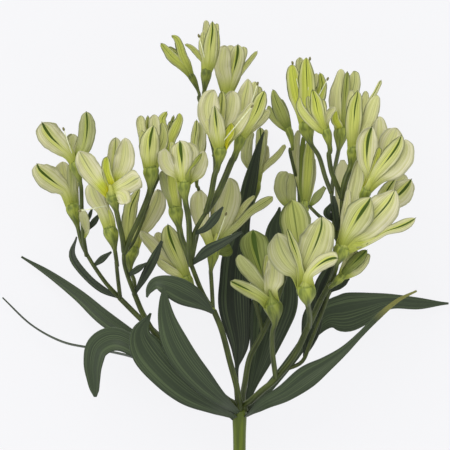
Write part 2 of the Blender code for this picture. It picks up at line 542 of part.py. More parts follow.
def tepal(group, bloom, row):
    """One tepal: a curved blade from the bloom's base to its tip, broad above the middle."""
    x, y, rise, width, face, kind, sway = row
    base = spot(*bloom["base"])
    aim = bloom["aim"]
    axis = unit(spot(aim[0], aim[1], bloom["base"][2] + aim[2]) - base)
    tip = spot(x, y, bloom["base"][2] + rise)
    chord = tip - base
    length = np.linalg.norm(chord)
    side = unit(np.array([chord[1], -chord[0], 0.0]))
    radial = unit(chord - axis * chord.dot(axis))
    outward = unit(radial * (1 - abs(face)) + np.array([0, 0, face]))
    core = bloom["core"][0]
    start = base + axis * 1.6 + (radial + outward) * core * 0.4
    middle = base + axis * length * 0.5 - side * sway * STEP * 1.4 + (radial * 0.5 + outward) * core
    shape = TEPAL_SHAPES[kind]

    def place(v, s):
        s = s + 0.06 * math.sin(math.pi * s)
        t = 0.04 + 0.96 * s
        point = (1 - t) ** 2 * start + 2 * (1 - t) * t * middle + t**2 * tip
        line = unit(2 * (1 - t) * (middle - start) + 2 * t * (tip - middle))
        across = unit(np.cross(line, outward))
        up = np.cross(across, line)
        half = width * 0.5 * profile(s, shape)
        point = point + across * v * half
        point = point - up * (v * v) * half * 0.42 * (1 - 0.5 * s)
        point = point + up * 1.4 * max(0.0, s - 0.72) ** 2 * length * 0.3
        if abs(v) < 0.01 and s > 0.99:
            point = point + line * 0.9
        return point

    return blade(group, 2, 2 if rise < -7 else 3, place)


def strip(group, rows, across, along, keel):
    """A leaf blade through rows of (plan x, plan y, height, width in steps, roll in degrees)."""
    path = np.array([[*spot(r[0], r[1], r[2]), r[3] * STEP, math.radians(r[4])] for r in rows])
    fine = smooth_path(path, 61)

    def place(v, s):
        at = [np.interp(s * 60, range(61), fine[:, k]) for k in range(5)]
        ahead = [np.interp(min(60, s * 60 + 1), range(61), fine[:, k]) for k in range(3)]
        behind = [np.interp(max(0, s * 60 - 1), range(61), fine[:, k]) for k in range(3)]
        line = unit(np.array(ahead) - np.array(behind))
        flat = unit(np.cross(line, np.array([0, 0, 1.0])))
        up = np.cross(flat, line)
        across_line = flat * math.cos(at[4]) + up * math.sin(at[4])
        normal = np.cross(across_line, line)
        half = max(at[3], 1.0) * 0.5
        return np.array(at[:3]) + across_line * v * half + normal * abs(v) * half * keel

    return blade(group, across, along, place)


def leaf_rows(name):
    """The rows of a leaf, with its foot on the stem's skin where it belongs to the whorl."""
    rows = LEAVES[name]
    if name in LEAF_FEET:
        angle, y, roll = LEAF_FEET[name]
        x = WHORL[0] + FOOT_REACH * math.cos(math.radians(angle)) / STEP
        z = WHORL[2] + FOOT_REACH * math.sin(math.radians(angle))
        rows = [(x, y, z, 4.4, roll)] + rows
    return rows


def keep_outer_shell(work):
    """Leaves only the largest shell, so that no cavity is sealed where blades cross."""
    left = set(work.verts)
    shells = []
    while left:
        shell = set()
        front = [next(iter(left))]
        while front:
            vert = front.pop()
            if vert in shell:
                continue
            shell.add(vert)
            front.extend(edge.other_vert(vert) for edge in vert.link_edges)
        shells.append(shell)
        left -= shell
    largest = max(shells, key=len)
    spare = [vert for shell in shells if shell is not largest for vert in shell]
    bmesh.ops.delete(work, geom=spare, context="VERTS")


def thin_out(obj):
    """Takes out the slivers that a union leaves along its seams."""
    fewer = obj.modifiers.new("fewer", "DECIMATE")
    fewer.ratio = KEEP_RATIO
    graph = bpy.context.evaluated_depsgraph_get()
    mesh = bpy.data.meshes.new_from_object(obj.evaluated_get(graph))
    obj.modifiers.clear()
    obj.data = mesh


def fuse(name, home, work, material):
    """One solid named name from every object of the work collection."""
    first, *others = list(work.objects)
    if others:
        tools = make_collection("tools_" + name, hidden=True)
        for obj in others:
            work.objects.unlink(obj)
            tools.objects.link(obj)
            obj.display_type = "WIRE"
        join = first.modifiers.new("join", "BOOLEAN")
        join.operation = "UNION"
        join.operand_type = "COLLECTION"
        join.collection = tools
        join.solver = "EXACT"
        graph = bpy.context.evaluated_depsgraph_get()
        mesh = bpy.data.meshes.new_from_object(first.evaluated_get(graph))
        first.modifiers.clear()
        first.data = mesh
        for obj in others:
            bpy.data.objects.remove(obj, do_unlink=True)
        bpy.data.collections.remove(tools)
    tidy = bmesh.new()
    tidy.from_mesh(first.data)
    bmesh.ops.remove_doubles(tidy, verts=tidy.verts, dist=2e-6)
    bmesh.ops.dissolve_degenerate(tidy, edges=tidy.edges, dist=2e-6)
    keep_outer_shell(tidy)
    bmesh.ops.triangulate(tidy, faces=tidy.faces)
    tidy.to_mesh(first.data)
    tidy.free()
    if others:
        thin_out(first)
    work.objects.unlink(first)
    home.objects.link(first)
    first.name = name
    first.data.name = name
    first.data.materials.clear()
    first.data.materials.append(material)
    return first


def build_stem(home, work, material):
    """The main stem from its plain cut end up to the whorl."""
    top = spot(*WHORL)
    end = top + np.array([0, -STEM_LENGTH, STEM_RADIUS - WHORL[2]])
    rows = []
    for s in np.linspace(0, 1, 9):
        point = end + (top - end) * s
        radius = STEM_RADIUS + (WHORL_RADIUS - STEM_RADIUS) * max(0.0, s - 0.92) / 0.08
        rows.append((*point, radius))
    rod(work, rows, sides=4)
    return fuse("stem", home, work, material)


def build_ray(home, work, material, name, spec):
    """One ray with its forks, its pedicels with their ovaries, and its bracts."""
    angle = math.radians(spec["angle"])
    foot = spot(*WHORL) + np.array([3.0 * math.cos(angle), GAP + 0.3, 3.0 * math.sin(angle)])
    for i, (start, end, points) in enumerate(spec["stalks"]):
        line = [spot(*p) for p in points]
        if i == 0:
            line = [foot + np.array([0, 2.4, 0])] + line
        count = max(4, int(sum(np.linalg.norm(b - a) for a, b in zip(line, line[1:])) / 14))
        path = smooth_path(line, count)
        radii = np.linspace(start, end, count)
        rows = [(*p, r) for p, r in zip(path, radii)]
        if i == 0:
            rows = [(*foot, start)] + rows
        rod(work, rows)
    for bloom_name, bloom in BLOOMS.items():
        if bloom["ray"] == name:
            pedicel(work, bloom)
    for rows in spec["bracts"]:
        strip(work, rows, 2, len(rows) + 1, 0.15)
    return fuse(name, home, work, material)


def pedicel(work, bloom):
    """A pedicel that swells into the ribbed ovary under a bloom."""
    base = spot(*bloom["base"])
    aim = bloom["aim"]
    axis = unit(spot(aim[0], aim[1], bloom["base"][2] + aim[2]) - base)
    line = [spot(*p) for p in bloom["pedicel"]]
    foot = base - axis * OVARY_LENGTH
    line.append(foot)
    count = max(3, int(sum(np.linalg.norm(b - a) for a, b in zip(line, line[1:])) / 14))
    path = smooth_path(line, count)
    rows = [(*p, PEDICEL_RADIUS) for p in path]
    wide = bloom["ovary"]
    rows.append((*(base - axis * OVARY_LENGTH * 0.62), wide * 0.76))
    rows.append((*(base - axis * OVARY_LENGTH * 0.28), wide))
    rows.append((*(base - axis * GAP), min(2.2, wide * 0.75)))
    rod(work, rows)


def build_bloom(home, work, material, name, bloom):
    """One bloom: a core on the ovary with its tepals fused into it."""
    base = spot(*bloom["base"])
    aim = bloom["aim"]
    axis = unit(spot(aim[0], aim[1], bloom["base"][2] + aim[2]) - base)
    wide, length = bloom["core"]
    rows = []
    for s, r in ((0.02, 0.66), (0.45, 1.0), (1.0, 0.35)):
        rows.append((*(base + axis * length * s), wide * r))
    rod(work, rows)
    for row in bloom["tepals"]:
        tepal(work, bloom, row)
    return fuse(name, home, work, material)


def set_down(objects):
    """Moves every object so that the whole stands on z = 0 with its box centred on the origin."""
    points = np.array([v.co for obj in objects for v in obj.data.vertices])
    low, high = points.min(axis=0), points.max(axis=0)
    shift = Vector((-(low[0] + high[0]) / 2, -(low[1] + high[1]) / 2, -low[2]))
    for obj in objects:
        obj.data.transform(Matrix.Translation(shift))


def main():
    clear_scene()
    home = make_collection("alstroemeria_stem")
    work = make_collection("work")
    stalk = make_material("stalk_green", (0.12, 0.2, 0.05), 0.55)
    leaf = make_material("leaf_green", (0.045, 0.08, 0.035), 0.5)
    cream = make_material("cream_tepal", (0.68, 0.72, 0.42), 0.6)
    done = [build_stem(home, work, stalk)]
    for name, spec in RAYS.items():
        done.append(build_ray(home, work, stalk, name, spec))
    for name, bloom in BLOOMS.items():
        done.append(build_bloom(home, work, cream, name, bloom))
    for name in LEAVES:
        rows = leaf_rows(name)
        strip(work, rows, 2, len(rows) + 3, 0.12)
        done.append(fuse(name, home, work, leaf))
    bpy.data.collections.remove(work)
    set_down(done)


main()
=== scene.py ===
import math

import bmesh
import bpy
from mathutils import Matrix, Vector, noise


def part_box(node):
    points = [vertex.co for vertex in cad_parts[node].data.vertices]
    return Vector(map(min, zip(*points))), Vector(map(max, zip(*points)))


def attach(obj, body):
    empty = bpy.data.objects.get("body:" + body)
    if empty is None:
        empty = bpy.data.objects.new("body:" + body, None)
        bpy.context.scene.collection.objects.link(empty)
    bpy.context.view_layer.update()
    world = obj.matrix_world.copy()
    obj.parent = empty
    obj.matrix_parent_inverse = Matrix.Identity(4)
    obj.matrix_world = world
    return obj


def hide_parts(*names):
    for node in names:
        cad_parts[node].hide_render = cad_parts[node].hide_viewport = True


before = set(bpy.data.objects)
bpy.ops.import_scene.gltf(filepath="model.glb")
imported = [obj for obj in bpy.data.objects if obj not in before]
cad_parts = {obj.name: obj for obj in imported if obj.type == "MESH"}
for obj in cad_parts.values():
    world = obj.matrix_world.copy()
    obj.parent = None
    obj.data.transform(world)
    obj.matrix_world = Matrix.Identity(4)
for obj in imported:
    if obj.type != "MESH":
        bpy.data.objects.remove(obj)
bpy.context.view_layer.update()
bpy.context.scene.view_settings.view_transform = "Standard"

# The stem lies on its side. Its plan is read straight from above, x to the right and y down in steps,
# and a height is in mm.
mm = 0.001
sheetPlan = {
    "step": 0.52,  # mm
    "whorl": (239.5, 410.0, 36.0),  # plan x, plan y and height of the top of the main stem
    "middle": (225, 225),  # of the picture
    "width": 450,  # of the picture, in steps
}
stemForm = {
    "radius": 3.2, "whorlRadius": 3.9,  # mm
    "stops": (0.0, 0.2, 0.4, 0.6, 0.8, 0.92, 0.97, 1.0),  # parts of its length
    "swellFrom": 0.9,  # part of its length
    "rows": 90, "sides": 28, "ribs": 9, "ribDepth": 0.012,
}
stemLow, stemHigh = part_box("stem")
stemMiddle = (stemLow[0] + stemHigh[0]) / 2
whorlPoint = Vector((stemMiddle, stemHigh[1], stemHigh[2] - stemForm["whorlRadius"] * mm))


def onPlan(x, y, height):
    # a plan position and a height in mm, as a point in metres
    across = (x - sheetPlan["whorl"][0]) * sheetPlan["step"]
    up = (sheetPlan["whorl"][1] - y) * sheetPlan["step"]
    return whorlPoint + Vector((across, up, height - sheetPlan["whorl"][2])) * mm


def between(a, b, c, d, t):
    # the value at t from b to c, on a smooth curve through all four
    return 0.5 * (2 * b + (c - a) * t + (2 * a - 5 * b + 4 * c - d) * t**2 + (3 * b - a - 3 * c + d) * t**3)


def smoothRows(rows, count):
    # count rows, evenly along a smooth line through rows of a point and its values
    curveSteps = 12
    rows = [(Vector(row[0]), *row[1:]) for row in rows]
    before = (2 * rows[0][0] - rows[1][0], *rows[0][1:])
    after = (2 * rows[-1][0] - rows[-2][0], *rows[-1][1:])
    ends = [before, *rows, after]
    fine = []
    for i in range(1, len(ends) - 2):
        for k in range(curveSteps):
            fine.append(tuple(between(*four, k / curveSteps) for four in zip(*ends[i - 1 : i + 3])))
    fine.append(rows[-1])
    along = [0.0]
    for a, b in zip(fine, fine[1:]):
        along.append(along[-1] + (b[0] - a[0]).length)
    even = []
    at = 0
    for k in range(count):
        wanted = along[-1] * k / (count - 1)
        while at < len(along) - 2 and along[at + 1] < wanted:
            at += 1
        t = (wanted - along[at]) / max(along[at + 1] - along[at], 1e-9)
        even.append(tuple(a + (b - a) * min(1.0, t) for a, b in zip(fine[at], fine[at + 1])))
    return even


def lengthOf(points):
    return sum((b - a).length for a, b in zip(points, points[1:]))


def stepped(s, stops):
    # the value at s on straight lines through (s, value) stops
    for (s0, v0), (s1, v1) in zip(stops, stops[1:]):
        if s <= s1:
            return v0 + (v1 - v0) * (s - s0) / (s1 - s0)
    return stops[-1][1]


def bladeSides(line, roll):
    # the way across a blade that runs along line, rolled about it, and the way out of its face
    flat = line.cross(Vector((0, 0, 1))).normalized()
    across = flat * math.cos(roll) + flat.cross(line) * math.sin(roll)
    return across, across.cross(line)


def newWork():
    # an empty mesh with the map and the marks that the materials read
    work = bmesh.new()
    work.loops.layers.uv.new("grain")
    work.loops.layers.float_color.new("mark")
    return work


def addSheet(work, across, along, place, mark, slot=0, tube=False):
    # a grid whose points go where place(v, s) says, v from -1 to 1 and s from 0 to 1
    verts = bmesh.ops.create_grid(work, x_segments=across, y_segments=along, size=1)["verts"]
    faces = {face for vert in verts for face in vert.link_faces}
    uv = work.loops.layers.uv["grain"]
    color = work.loops.layers.float_color["mark"]
    for face in faces:
        face.smooth = True
        face.material_index = slot
        for loop in face.loops:
            v, s = loop.vert.co.x, (loop.vert.co.y + 1) / 2
            loop[uv].uv = ((v + 1) / 2, s)
            loop[color] = mark(v, s) if callable(mark) else mark
    for vert in verts:
        vert.co = place(vert.co.x, (vert.co.y + 1) / 2)
    if tube:
        bmesh.ops.remove_doubles(work, verts=verts, dist=1e-7)
        rims = [edge for face in faces if face.is_valid for edge in face.edges if edge.is_boundary]
        filled = bmesh.ops.holes_fill(work, edges=list(set(rims)), sides=0)["faces"]
        for face in filled:
            face.material_index = slot
            for loop in face.loops:
                loop[color] = mark(0, 1) if callable(mark) else mark
        faces = [face for face in faces if face.is_valid] + filled
        bmesh.ops.recalc_face_normals(work, faces=faces)


def addTube(work, rows, sides, mark, slot=0, ribs=0, ribDepth=0.0):
    # a rod along rows of (point, radius in mm), ribbed most where it is widest
    last = len(rows) - 1
    widest = max(row[1] for row in rows)
    lines = [(rows[min(i + 1, last)][0] - rows[max(i - 1, 0)][0]).normalized() for i in range(last + 1)]
    flat = lines[0].orthogonal().normalized()
    rings = []
    for line in lines:
        flat = (flat - line * flat.dot(line)).normalized()
        rings.append((flat.copy(), line.cross(flat)))

    def place(v, s):
        i = round(s * last)
        angle = math.pi * v
        point, radius = rows[i][0], rows[i][1]
        swell = 1 + ribDepth * math.cos(ribs * angle) * (radius / widest) ** 2
        a, b = rings[i]
        return point + (a * math.cos(angle) + b * math.sin(angle)) * radius * swell * mm

    addSheet(work, sides, last, place, mark, slot, tube=True)


def thickened(work, thickness):
    # the sheets of work as thin solids, in a new work
    mesh = bpy.data.meshes.new("thin")
    work.to_mesh(mesh)
    work.free()
    holder = bpy.data.objects.new("thin", mesh)
    bpy.context.scene.collection.objects.link(holder)
    solid = holder.modifiers.new("thick", "SOLIDIFY")
    solid.thickness = thickness * mm
    solid.offset = 0
    graph = bpy.context.evaluated_depsgraph_get()
    done = bpy.data.meshes.new_from_object(holder.evaluated_get(graph))
    bpy.data.objects.remove(holder, do_unlink=True)
    solidWork = bmesh.new()
    solidWork.from_mesh(done)
    bpy.data.meshes.remove(done)
    return solidWork


def finishPiece(work, node, materials):
    # the piece that stands for a CAD node
    mesh = bpy.data.meshes.new("fine_" + node)
    work.to_mesh(mesh)
    work.free()
    for material in materials:
        mesh.materials.append(material)
    piece = bpy.data.objects.new("fine_" + node, mesh)
    bpy.context.scene.collection.objects.link(piece)
    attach(piece, "root")
    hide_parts(node)


def buildStem(materials):
    # the main stem, from its plain cut end up to the whorl, where it swells a little
    form = stemForm
    end = Vector((whorlPoint.x, stemLow[1], stemLow[2] + form["radius"] * mm))
    rows = []
    for s in form["stops"]:
        swell = max(0.0, s - form["swellFrom"]) / (1 - form["swellFrom"])
        radius = form["radius"] + (form["whorlRadius"] - form["radius"]) * swell
        rows.append((end.lerp(whorlPoint, s), radius))
    work = newWork()
    rows = smoothRows(rows, form["rows"])
    addTube(work, rows, form["sides"], (0.0, 0.0, 0.0, 1.0), ribs=form["ribs"], ribDepth=form["ribDepth"])
    finishPiece(work, "stem", materials)


leafForm = {
    "thickness": 0.42, "leastWidth": 0.7,  # mm
    "keel": 0.12, "wave": 0.1,  # parts of half the width
    "wavePitch": (6, 1.7),  # waves along the blade, and across half of it
    "across": 12, "along": 70,  # faces
    "footWidth": 5.2, "footDepth": 0.3,  # steps wide, and mm inside the stem
    "tone": 0.5,  # 0 is the deepest green
    "drying": 12,  # how sharply a tip goes dry
}

# Each leaf: where it leaves the whorl, as (angle round the stem, plan y, roll), its tone, the part of its
# length from which it is dry, and rows of (plan x, plan y, height, width in steps, roll) to its tip.
leaves = {}
leaves["leaf_1"] = {
    "foot": (212, 414, 122), "tone": 0.3,
    "rows": [
        (205, 395, 27, 10, 55), (170, 371, 22, 13, 75), (132, 357, 18, 13, 80), (96, 349, 14, 12, 80),
        (62, 342, 11, 10, 80), (30, 325, 7, 7, 78), (1, 298, 4, 2, 70),
    ],
}
leaves["leaf_2"] = {
    "foot": (186, 420, 96), "tone": 0.4,
    "rows": [
        (205, 398, 36, 9, 10), (165, 362, 29, 12, 10), (130, 337, 23, 15, 10), (102, 317, 18, 16, 10),
        (78, 296, 13, 12, 10), (48, 274, 8, 7, 10), (20, 257, 4, 2, 10),
    ],
}
leaves["leaf_3"] = {
    "foot": (160, 414, 70),
    "rows": [
        (205, 399, 49, 9, 10), (165, 372, 55, 14, 10), (134, 347, 55, 19, 10), (114, 339, 53, 24, 0),
        (98, 347, 48, 25, -20), (93, 364, 42, 22, -30), (93.5, 381, 38, 15, -30),
        (94.5, 391, 36.5, 10, -30), (95, 397.5, 36, 3, -30),
    ],
}
leaves["leaf_4"] = {
    "foot": (130, 418, 40),
    "rows": [
        (213, 407, 56, 14, 10), (188, 392, 64, 27, 5), (165, 372, 69, 32, 0), (147, 350, 72, 33, 0),
        (141, 332, 75, 20, -10), (151, 313, 78, 2, -20),
    ],
}
leaves["leaf_5"] = {
    "foot": (103, 413, 13),
    "rows": [
        (222, 400, 57, 13, -15), (204, 383, 67, 23, -10), (186, 361, 76, 27, 0), (174, 340, 82, 26, 0),
        (167, 318, 85, 18, 10), (164.5, 300, 88, 10, 10), (164, 286, 90, 2, 10),
    ],
}
leaves["leaf_6"] = {
    "foot": (262, 414, -8), "tone": 0,
    "rows": [
        (236.5, 386, 18, 5, 0), (237, 368, 10, 4, 0), (238.5, 358, 7.5, 11, 3), (239.5, 342, 5, 21, 5),
        (235.5, 308, 3.5, 34, 5), (235, 280, 3, 31, 0), (237.5, 256, 4, 30, 0), (241, 234, 6.5, 18, 0),
        (244, 214, 8, 14.5, 0), (249.5, 186, 11, 15, 0), (256, 158, 13, 8.5, 0), (259.5, 145, 13.5, 5.5, 0),
        (264, 131.5, 14, 1.5, 0),
    ],
}
leaves["leaf_7"] = {
    "foot": (293, 417, 23), "tone": 0.35,
    "rows": [
        (252, 388, 20, 9, 0), (261.5, 358, 12, 24, 0), (270.5, 322, 9, 42, 0), (275.5, 302, 9, 46, 0),
        (278, 282, 9, 39, 0), (278.5, 256, 10, 33, 0), (276.5, 230, 12, 20, 0), (280, 207, 14, 2, 0),
    ],
}
leaves["leaf_8"] = {
    "foot": (334, 413.5, 64),
    "rows": [
        (264, 394, 32, 9, 0), (288, 365, 31, 10, 0), (308, 338, 31, 12, 0), (326, 317, 31, 26, 0),
        (346, 313, 30, 39, 0), (366, 308, 27, 31, 5), (390, 302, 20, 16, 10), (420, 304, 11, 12, 10),
        (450, 304, 3, 2, 0),
    ],
}
leaves["leaf_9"] = {
    "foot": (22, 417, -68), "dryFrom": 0.76,
    "rows": [
        (264, 404, 46, 12, 5), (285, 393, 51, 18, 5), (307, 377, 55, 23, 5), (327, 363.5, 57, 15, 0),
        (344, 350.5, 57, 9, 0), (360, 335, 55, 6, 0), (378, 317, 52, 6, 0), (398, 300.5, 49, 4, 0),
        (417, 291, 46, 2, 0),
    ],
}
leaves["leaf_10"] = {
    "rows": [
        (213, 312.5, 68.4, 4, 20), (199, 301, 77, 17, 10), (185, 293, 83, 25, 10), (170, 286, 86, 22, 0),
        (157, 283, 86, 13, -10), (150, 289, 84, 8, -20), (147, 297, 82, 2, -30),
    ],
}


def addBlade(work, rows, across, along, keel, mark, slot=0, seed=0.0):
    # a leaf blade through such rows, folded a little along its middle
    fine = [(onPlan(*row[:3]), row[3] * sheetPlan["step"], math.radians(row[4])) for row in rows]
    fine = smoothRows(fine, along + 1)
    rippleAlong, rippleAcross = leafForm["wavePitch"]

    def place(v, s):
        i = round(s * along)
        point, width, roll = fine[i]
        line = (fine[min(along, i + 1)][0] - fine[max(0, i - 1)][0]).normalized()
        aside, normal = bladeSides(line, roll)
        half = max(width, leafForm["leastWidth"]) * 0.5 * mm
        ripple = noise.noise(Vector((v * rippleAcross + seed, s * rippleAlong, seed)))
        return point + aside * v * half + normal * half * abs(v) * (keel + ripple * leafForm["wave"])

    addSheet(work, across, along, place, mark, slot)


def buildLeaf(name, leaf, materials):
    rows = leaf["rows"]
    if "foot" in leaf:
        angle, y, roll = leaf["foot"]
        reach = stemForm["whorlRadius"] - leafForm["footDepth"]
        x = sheetPlan["whorl"][0] + reach * math.cos(math.radians(angle)) / sheetPlan["step"]
        height = sheetPlan["whorl"][2] + reach * math.sin(math.radians(angle))
        rows = [(x, y, height, leafForm["footWidth"], roll)] + rows
    tone = leaf.get("tone", leafForm["tone"])
    dryFrom = leaf.get("dryFrom", 1.0)

    def mark(v, s):
        # read by the leaf's material: its tone, and how dry it is
        return (tone, min(1.0, max(0.0, s - dryFrom) * leafForm["drying"]), 0.0, 1.0)

    work = newWork()
    seed = len(name) + ord(name[-1])
    addBlade(work, rows, leafForm["across"], leafForm["along"], leafForm["keel"], mark, seed=seed)
    finishPiece(thickened(work, leafForm["thickness"]), name, materials)


petalForm = {
    "thickness": 0.34,
    "across": 16, "along": 34, "lineRows": 48,  # faces, and rows of its centre line
    "footDepth": -1.2,  # mm along the bloom's axis
    "footShift": 0.45, "footSpread": 0.22, "footWidth": 1.3,  # parts of the ovary's radius
    "cupLift": 2.2, "riseLift": 0.4,  # how far its middle bulges
    "body": 0.68,  # part of its rows of faces that lies before the rounded end
    "endShape": 0.42, "endMost": 0.3, "endWidth": 0.06,  # length by width, most of the line, least width
    "bow": 0.62, "footBow": 1.15, "footBowEnds": 2.2,  # radians across half the petal, more at its foot
    "frill": 0.09, "wave": 0.192, "flute": 0.12,  # parts of the width
    "frillPitch": (11, 1.5), "wavePitch": (5.5, 1.6), "flutePitch": 8,  # along, and across half
    "groove": 0.12, "grooves": 11,  # mm deep
    "hook": 0.8, "hookFrom": 0.93, "hookWidth": 3.2,  # mm that the tip of a striped petal runs ahead
    "throatReach": 2.7,  # how soon the yellow of the throat ends
}
coreForm = {
    "rows": 16, "sides": 24, "ribs": 6, "ribDepth": 0.05,
    "tint": 0.7,  # its least lime tint
    # part of its length, then its radius as parts of the ovary's and its own
    "shape": [
        (-0.03, 0.8, 0.0), (0.06, 0.76, 0.0), (0.18, 0.56, 0.08), (0.35, 0.16, 0.42), (0.55, 0.0, 0.5),
        (0.75, 0.0, 0.4), (0.9, 0.0, 0.25), (1.0, 0.0, 0.12),
    ],
}
stamenForm = {
    "root": 2, "bow": 2,  # mm up the axis, and mm out of its line
    "radii": (0.32, 0.3, 0.22), "rows": 14, "sides": 6,
    "anther": [(-1.1, 0.1), (-0.7, 0.5), (0.0, 0.65), (0.7, 0.5), (1.1, 0.1)],  # mm along it, and its radius
    "antherSides": 8,
}
ovaryForm = {
    "length": 11.5, "stalk": 1.1, "rowLength": 0.9,  # mm: the ovary, a usual pedicel's radius, its faces
    "sides": 24, "ribs": 6, "ribDepth": 0.07,
    "overlap": 0.06, "straight": 0.4,  # parts of its length, in the bloom and on the bloom's own axis
    "tone": 0.7, "stalkTone": 0.12, "toneFrom": 1.25,  # how pale it and its pedicel are, and where it starts
    # way down from its top, as part of its length, then the part of its full radius
    "shape": [
        (-0.06, 0.84), (0.04, 0.93), (0.15, 1.0), (0.3, 0.96), (0.5, 0.78), (0.72, 0.54), (0.92, 0.37),
        (1.1, 0.28),
    ],
}

# Each bloom: the ray that carries it, its base, the plan point that it aims at with the rise to it, radius
# and length of the core inside its petals, the ovary's radius, and its pedicel's points from the fork up.
# Some also have the pedicel's own radius (stalk), how pale the ovary is (tone), how yellow the hollow petals
# are at their foot (throat), the roll of a petal by its place in the list, and stamens: (tip x, tip y, rise,
# bow), and where one starts, if that isn't the throat.
# Each tepal: rise of its tip over the base in mm, cup, which is above 0 where its back is on top, stripe,
# lime tint and olive tint (partly the petal's own olive and partly painted shade), then (plan x, plan y,
# width in steps) along its middle.
blooms = {}
blooms["bloom_a"] = {
    "ray": "ray_c", "base": (190, 74, 46), "aim": (176, 50, 2), "core": (2.7, 12), "ovary": 1.9,
    "stalk": 0.85, "tone": 0.35,
    "pedicel": [(205, 119, 49), (202, 108, 48), (198.5, 98, 47)],
    "tepals": [
        (4.5, 0.8, 0.5, 0.75, 0.35, [(183, 66, 10), (173, 57.5, 11), (166.5, 50, 8), (161, 43.5, 4)]),
        (6, 0.8, 0.4, 0.75, 0.3,
         [(187, 65, 9), (182.5, 55, 9), (179.5, 45, 7.5), (176.5, 38.5, 6), (172, 35.5, 3)]),
        (-5, -0.7, 0.2, 0.6, 0.3, [(183, 64, 9), (175, 54, 9), (168, 47, 5)]),
        (-3, -0.6, 0.2, 0.6, 0.3, [(184, 60, 8), (179, 49, 6), (176, 41, 4)]),
    ],
}
blooms["bloom_b"] = {
    "ray": "ray_c", "base": (206.5, 70, 58), "aim": (209, 40, 3), "core": (2.5, 10), "ovary": 2.9,
    "stalk": 0.85, "tone": 0.4,
    "pedicel": [(205, 121, 50), (203, 104, 53), (203.5, 92, 55.5)],
    "stamens": [(198.8, 36, 8, 1)],
    "tepals": [
        (1.5, -0.6, 0.1, 0.2, 0, [(205.5, 55, 9), (206, 38, 9), (206.3, 27, 6.5), (206.3, 20.5, 5.5)]),
        (13.5, 0.85, 1, 0.55, 0.1, [(209.5, 59, 14), (211, 44, 14), (212.5, 31, 9), (212.5, 22.5, 3)]),
        (-6, -0.5, 0.3, 0.35, 0, [(213.5, 58, 7), (215, 45, 9), (215.5, 33, 7.5), (217, 23.5, 4.5)]),
        (3, 0.3, 0.5, 0.6, 0.3, [(203.5, 62, 5), (198, 54.5, 6), (191.5, 47.5, 4.5), (185.5, 44.5, 2.5)]),
        (7.5, 0.6, 0.2, 0.4, 0.05, [(205.5, 60, 7), (203, 48, 8.5), (203, 38, 6.5), (203.5, 32, 4)]),
        (1.5, 0.4, 0.3, 0.5, 0.15, [(214, 60, 6), (217, 46, 6), (217.5, 36, 4), (217.5, 31, 2.5)]),
    ],
}
blooms["bloom_c"] = {
    "ray": "ray_c", "base": (227, 93, 28), "aim": (230, 60, -2), "core": (2.2, 7), "ovary": 2.8,
    "pedicel": [(214, 156, 56), (219, 135, 46), (224, 118, 36)],
    "tepals": [
        (7.5, 0.7, 0, 0.1, 0, [(225.5, 80, 13), (222.5, 66, 17), (223.5, 53, 15), (225, 45, 9)]),
        (3, 0.75, 1, 0.3, 0.1, [(230.5, 82, 12), (235, 66, 16), (237.5, 54, 15), (238, 44.5, 9)]),
        (0, 0.4, 0.7, 0.5, 0.2, [(234, 82, 5), (243, 69, 5), (251, 58.5, 4.8), (257, 51, 3)]),
        (-16, -0.8, 0.1, 0.1, 0.1, [(229, 75, 12), (230, 56, 13), (230.5, 44.5, 8)]),
        (-8, -0.5, 0, 0.1, 0.15, [(221.5, 80, 8), (217.8, 65, 7), (219, 54, 5)]),
        (-10, -0.5, 0.2, 0.3, 0.1, [(236, 78, 8), (240.5, 62, 8), (244, 51, 7), (243, 46, 5)]),
    ],
}
blooms["bloom_d"] = {
    "ray": "ray_c", "base": (220.5, 148, 92), "aim": (223, 118, 8), "core": (2.2, 7), "ovary": 3.4,
    "stalk": 1.5, "throat": 1.5,
    "pedicel": [(206, 213, 84), (211, 195, 87), (214.5, 176, 89)],
    "stamens": [(252, 107, 18, 3)],
    "tepals": [
        (4.5, -0.5, 0.1, 0, 0,
         [(216, 136, 14), (211, 122, 21), (208.5, 110, 23), (210.5, 98, 18), (214, 90.5, 9)]),
        (-1.5, -0.6, 0.8, 0.55, 0.1, [(220, 128, 9), (221, 112, 11), (222, 100, 9), (222, 92, 4)]),
        (-6, -0.7, 0.1, 0.05, 0.1, [(225, 128, 12), (230, 113, 19), (232, 100, 17), (231.5, 91.5, 10)]),
        (20, 0.75, 1, 0.3, 0, [(219, 143, 13), (217.5, 131, 17), (216, 119, 13), (214.7, 107.5, 4)]),
        (15, -0.5, 0, 0.15, 0,
         [(228, 139, 10), (237, 128, 13), (244.5, 117, 11), (249, 109, 7), (252.5, 103.5, 4)]),
        (0, 0.5, 0.1, 0.4, 0, [(212, 136, 6), (205, 120, 7), (203, 107, 4)]),
        (11, -0.5, 0.3, 1.3, 0, [(225.5, 141, 8), (229, 134.5, 11), (230.5, 128.5, 10), (231, 124, 5)]),
    ],
}
